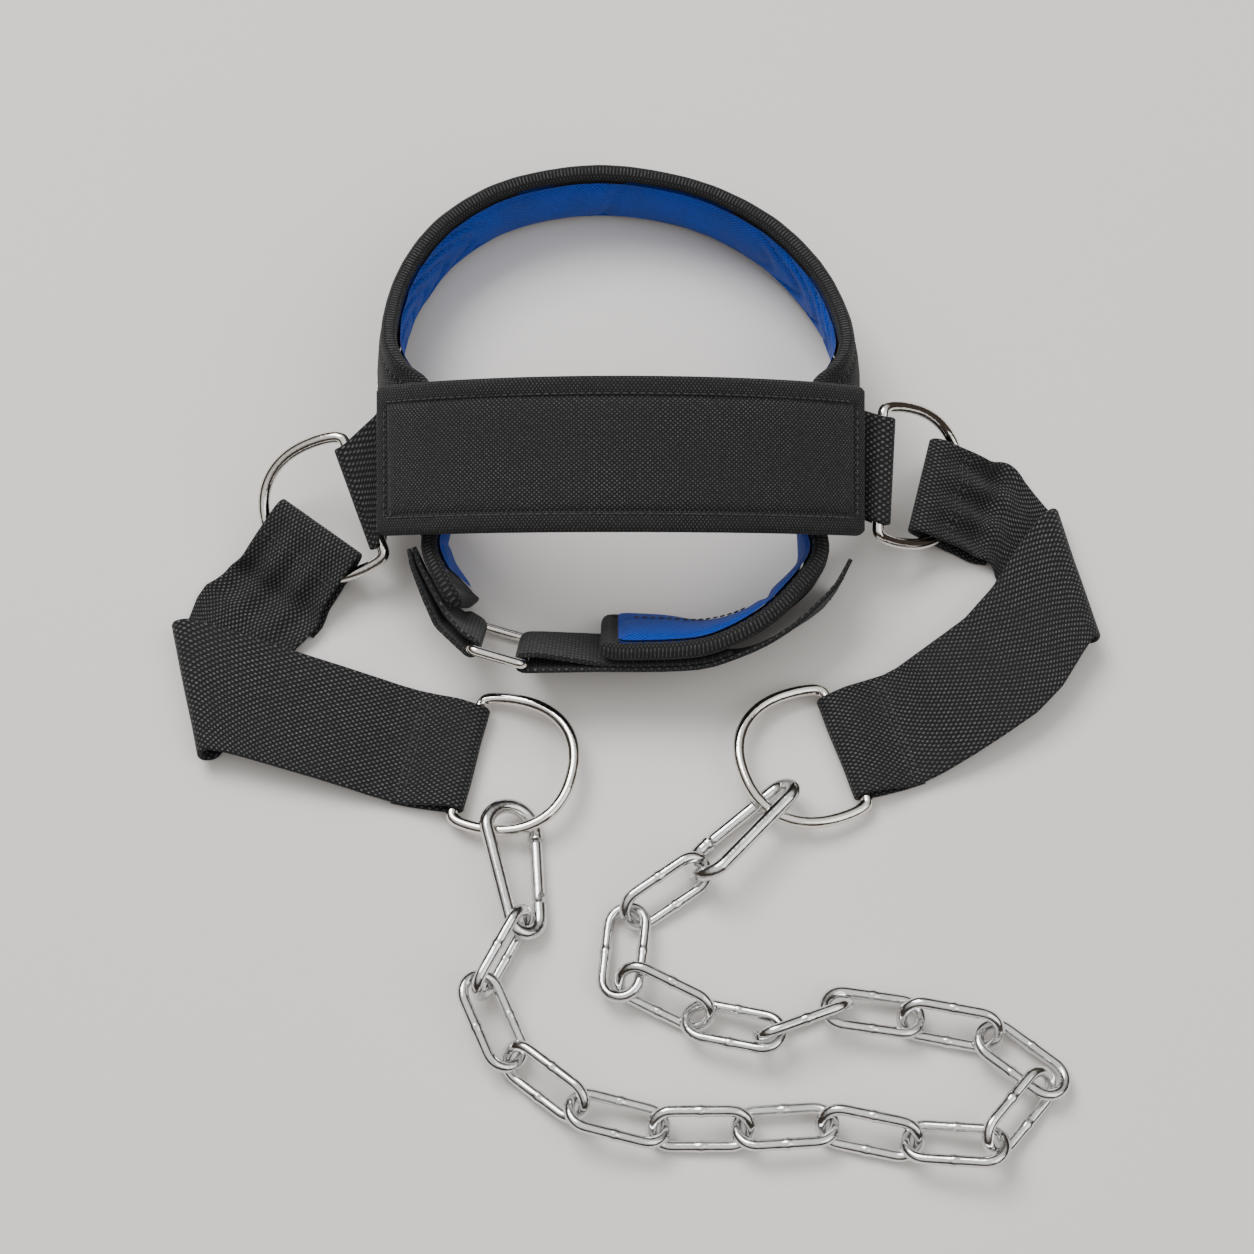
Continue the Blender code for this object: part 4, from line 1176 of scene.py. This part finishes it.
def add_rear_webs():
    size = sizes()
    places = []
    for label, side, rows in (("left", -1, REAR_LEFT_ROWS), ("right", 1, REAR_RIGHT_ROWS)):
        band = Band(rear_web_path(side, rows), rounds=4)
        made = strip("rear_webbing_" + label, band, size.webbing_thickness, look("strap webbing"))
        finished(made, "rear_web_" + label)
        for distance in (band.length - 0.006, band.length * 0.8):
            face = 1 if band.at(distance)[2][1] < 0 else -1
            places += row_across(band, distance, -band.width / 2 + 0.003, band.width / 2 - 0.003, face,
                                 size.webbing_thickness / 2 + 0.0001)
    finished(stitches("rear_web_stitching", places, look("sewing thread")), None)


def ring_outline():
    half_bar = RING_WIDTH / 2 - RING_WIRE / 2
    points = []
    for i in range(61):
        x, y = ring_point(math.radians(-118 + 236 * i / 60))
        if x > 0.0006:
            points.append((x, y, 0.0))
    end = points[-1][1]
    points.append((0.0, min(end, half_bar) - 0.0016, 0.0))
    points.append((0.0, -min(end, half_bar) + 0.0016, 0.0))
    return points


def in_place(points, matrix):
    return [matrix @ Vector(point) - SHIFT for point in points]


def add_rings():
    rings = (("upper_left", UPPER_RING_LEFT), ("upper_right", UPPER_RING_RIGHT),
             ("lower_left", LOWER_RING_LEFT), ("lower_right", LOWER_RING_RIGHT))
    for label, ring in rings:
        made = tube("d_ring_wire_" + label, in_place(ring_outline(), frame_matrix(*ring)), RING_WIRE,
                    look("chrome wire"))
        finished(made, "d_ring_" + label)


def add_adjuster():
    size = sizes()
    half_high = (size.rear_webbing_width + ADJUSTER_WIRE) / 2 + RING_CLEARANCE
    half_wide = (ADJUSTER_WIDTH - ADJUSTER_WIRE) / 2
    corner = ADJUSTER_WIRE * 0.6
    points = []
    for sx, sy, first in ((1, 1, 0), (-1, 1, 90), (-1, -1, 180), (1, -1, 270)):
        for i in range(4):
            angle = math.radians(first + 30 * i)
            points.append((sx * (half_high - corner) + corner * math.cos(angle),
                           sy * (half_wide - corner) + corner * math.sin(angle), 0.0))
    made = tube("adjuster_wire", in_place(points, adjuster_frame()), ADJUSTER_WIRE,
                look("chrome wire"))
    finished(made, "adjuster_ring")


def snap_path():
    head_radius = (SNAP_WIDTH - SNAP_WIRE) / 2
    foot_radius = (SNAP_FOOT_WIDTH - SNAP_WIRE) / 2
    hinge = SNAP_LENGTH - SNAP_FOOT_WIDTH * 0.97
    head = Vector((head_radius + SNAP_WIRE / 2, 0.0, 0.0))
    foot = Vector((SNAP_LENGTH - foot_radius - SNAP_WIRE / 2, head_radius - foot_radius, 0.0))
    points = [Vector((hinge + GATE_THICKNESS / 2 + CLEARANCE, head_radius, 0.0))]
    for i in range(25):
        angle = math.radians(90 - 176 * i / 24)
        points.append(foot + Vector((math.cos(angle), math.sin(angle), 0.0)) * foot_radius)
    for i in range(35):
        angle = math.radians(-100 - 170 * i / 34)
        points.append(head + Vector((math.cos(angle), math.sin(angle), 0.0)) * head_radius)
    points.append(Vector((SNAP_WIDTH * 0.60, head_radius, 0.0)))
    return points, hinge, head_radius


def add_snaps():
    points, hinge, side = snap_path()
    nose = SNAP_WIDTH * 0.60
    for label, snap in (("left", SNAP_LEFT), ("right", SNAP_RIGHT)):
        at = frame_matrix(*snap)

        def collar(share, _):
            return 1.0 + (0.10 if share > 0.985 else 0.0)

        body = tube("snap_wire_" + label, in_place(points, at), SNAP_WIRE, look("zinc wire"),
                    closed=False, swell=collar, step=0.0007)
        finished(body, "snap_body_" + label)
        start = Vector((hinge + GATE_THICKNESS * 0.42, side, 0.0))
        end = Vector((nose + CLEARANCE, side, 0.0))
        line = [start.lerp(end, i / 20) for i in range(21)]

        def sleeve(share, _):
            nearest = min(share, 1 - share) * 0.026
            return min(1.0, 0.55 + 0.45 * math.sqrt(min(1.0, nearest / 0.0012)))

        gate = tube("gate_sleeve_" + label, in_place(line, at), GATE_THICKNESS, look("zinc wire"),
                    closed=False, swell=sleeve, rounds=0, step=0.0006)
        pin = [Vector((hinge, side, z)) for z in (-0.0034, 0.0034)]
        rivet = tube("gate_rivet_" + label, in_place(pin, at), 0.0030, look("zinc wire"),
                     closed=False, rounds=0, step=0.0006,
                     swell=lambda share, _: 1.0 if 0.08 < share < 0.92 else 0.7)
        clear_selection()
        rivet.select_set(True)
        gate.select_set(True)
        bpy.context.view_layer.objects.active = gate
        bpy.ops.object.join()
        finished(gate, "snap_gate_" + label, "gate_" + label)


def add_chain():
    radius = (LINK_WIDTH - LINK_WIRE) / 2
    straight = (LINK_LENGTH - LINK_WIDTH) / 2
    outline = []
    for first, sign in ((-90, 1), (90, -1)):
        for i in range(25):
            angle = math.radians(first + 7.5 * i)
            outline.append((sign * straight + radius * math.cos(angle), radius * math.sin(angle), 0.0))
    for number in range(1, 18):
        node = "link_%02d" % number
        points = np.array([tuple(vert.co) for vert in bpy.data.objects[node].data.vertices])
        centre = points.mean(axis=0)
        _, axes = np.linalg.eigh(np.cov((points - centre).T))
        at = frame_matrix(Vector(centre), Vector(axes[:, 2]), Vector(axes[:, 1]))

        def bead(_, point):
            local = at.inverted() @ Vector(point)
            return 1.0 + 0.16 * math.exp(-(local.x / 0.0011) ** 2)

        line = [at @ Vector(point) for point in outline]
        made = tube("chain_" + node, line, LINK_WIRE, look("zinc wire"), swell=bead, step=0.0008)
        finished(made, node)


def add_stage():
    clear_selection()
    bpy.ops.mesh.primitive_plane_add(size=60.0)
    ground = bpy.context.object
    ground.name = "floor"
    ground.data.materials.append(look("studio floor"))
    lamps = (("key light", (-0.9, 1.1, 2.4), 1.5, 62.0), ("fill light", (1.6, -0.8, 1.8), 1.8, 15.0))
    for name, place_at, size, power in lamps:
        data = bpy.data.lights.new(name, "AREA")
        data.shape = "SQUARE"
        data.size = size
        data.energy = power
        lamp = bpy.data.objects.new(name, data)
        lamp.location = place_at
        lamp.rotation_euler = (-Vector(place_at)).to_track_quat("-Z", "Y").to_euler()
        bpy.context.scene.collection.objects.link(lamp)
    world = bpy.data.worlds.new("studio")
    bpy.context.scene.world = world
    world.use_nodes = True
    tree = world.node_tree
    start = Value(tree, None)
    direction = start.node("ShaderNodeTexCoord", None, None, 0)
    height = start.node("ShaderNodeSeparateXYZ", None, {0: direction}, 2)
    sky = height.between(0.40, 0.92).mix((0.050, 0.040, 0.033, 1.0), (1.0, 0.99, 0.97, 1.0))
    back = tree.nodes["Background"]
    tree.links.new(sky.socket, back.inputs["Color"])
    back.inputs["Strength"].default_value = 1.15
    data = bpy.data.cameras.new("photo camera")
    data.sensor_width = 36.0
    data.lens = CAMERA_LENS
    camera = bpy.data.objects.new("photo camera", data)
    towards = Vector((0.0, -math.cos(CAMERA_ELEVATION), math.sin(CAMERA_ELEVATION)))
    camera.location = towards * CAMERA_DISTANCE - SHIFT
    camera.rotation_euler = (math.pi / 2 - CAMERA_ELEVATION, 0.0, 0.0)
    bpy.context.scene.collection.objects.link(camera)
    bpy.context.scene.camera = camera


# Operators

class HARNESS_OT_front_panel(bpy.types.Operator):
    """Add the padded front panel with its binding and stitches"""
    bl_idname = "harness.front_panel"
    bl_label = "Front panel"

    def execute(self, context):
        add_front_panel()
        return {"FINISHED"}


class HARNESS_OT_crown_band(bpy.types.Operator):
    """Add the crown band with its blue lining"""
    bl_idname = "harness.crown_band"
    bl_label = "Crown band"

    def execute(self, context):
        add_crown_band()
        return {"FINISHED"}


class HARNESS_OT_rear_pads(bpy.types.Operator):
    """Add the two rear pads with their blue linings"""
    bl_idname = "harness.rear_pads"
    bl_label = "Rear pads"

    def execute(self, context):
        add_rear_pads()
        return {"FINISHED"}


class HARNESS_OT_straps(bpy.types.Operator):
    """Add the two long webbing straps"""
    bl_idname = "harness.straps"
    bl_label = "Straps"

    def execute(self, context):
        add_straps()
        return {"FINISHED"}


class HARNESS_OT_side_tabs(bpy.types.Operator):
    """Add the doubled tabs between the panel's ends and the upper rings"""
    bl_idname = "harness.side_tabs"
    bl_label = "Side tabs"

    def execute(self, context):
        add_side_tabs()
        return {"FINISHED"}


class HARNESS_OT_rear_webs(bpy.types.Operator):
    """Add the webbing between the rear pads and the adjuster ring"""
    bl_idname = "harness.rear_webs"
    bl_label = "Rear webbing"

    def execute(self, context):
        add_rear_webs()
        return {"FINISHED"}


class HARNESS_OT_rings(bpy.types.Operator):
    """Add the four chromed D-rings"""
    bl_idname = "harness.rings"
    bl_label = "D-rings"

    def execute(self, context):
        add_rings()
        return {"FINISHED"}


class HARNESS_OT_adjuster(bpy.types.Operator):
    """Add the rectangular adjuster ring"""
    bl_idname = "harness.adjuster"
    bl_label = "Adjuster ring"

    def execute(self, context):
        add_adjuster()
        return {"FINISHED"}


class HARNESS_OT_snaps(bpy.types.Operator):
    """Add the two snap hooks with their gates"""
    bl_idname = "harness.snaps"
    bl_label = "Snap hooks"

    def execute(self, context):
        add_snaps()
        return {"FINISHED"}


class HARNESS_OT_chain(bpy.types.Operator):
    """Add the chain's welded links"""
    bl_idname = "harness.chain"
    bl_label = "Chain"

    def execute(self, context):
        add_chain()
        return {"FINISHED"}


class HARNESS_OT_stage(bpy.types.Operator):
    """Add the floor, the lights and the camera"""
    bl_idname = "harness.stage"
    bl_label = "Studio"

    def execute(self, context):
        add_stage()
        return {"FINISHED"}


OPERATORS = (HARNESS_OT_front_panel, HARNESS_OT_crown_band, HARNESS_OT_rear_pads, HARNESS_OT_straps,
             HARNESS_OT_side_tabs, HARNESS_OT_rear_webs, HARNESS_OT_rings, HARNESS_OT_adjuster,
             HARNESS_OT_snaps, HARNESS_OT_chain, HARNESS_OT_stage)


class HARNESS_PT_panel(bpy.types.Panel):
    """Sidebar panel with a button for each group of pieces"""
    bl_label = "Harness"
    bl_idname = "HARNESS_PT_panel"
    bl_space_type = "VIEW_3D"
    bl_region_type = "UI"
    bl_category = "Harness"

    def draw(self, context):
        for operator in OPERATORS:
            self.layout.operator(operator.bl_idname)


CLASSES = (HarnessSizes, HarnessColours) + OPERATORS + (HARNESS_PT_panel,)


def register():
    for item in CLASSES:
        bpy.utils.register_class(item)
    bpy.types.Scene.harness_sizes = bpy.props.PointerProperty(type=HarnessSizes)
    bpy.types.Scene.harness_colours = bpy.props.PointerProperty(type=HarnessColours)


def unregister():
    del bpy.types.Scene.harness_colours
    del bpy.types.Scene.harness_sizes
    for item in reversed(CLASSES):
        bpy.utils.unregister_class(item)


def main():
    register()
    bpy.ops.harness.front_panel()
    bpy.ops.harness.crown_band()
    bpy.ops.harness.rear_pads()
    bpy.ops.harness.straps()
    bpy.ops.harness.side_tabs()
    bpy.ops.harness.rear_webs()
    bpy.ops.harness.rings()
    bpy.ops.harness.adjuster()
    bpy.ops.harness.snaps()
    bpy.ops.harness.chain()
    bpy.ops.harness.stage()


if __name__ == "__main__":
    main()
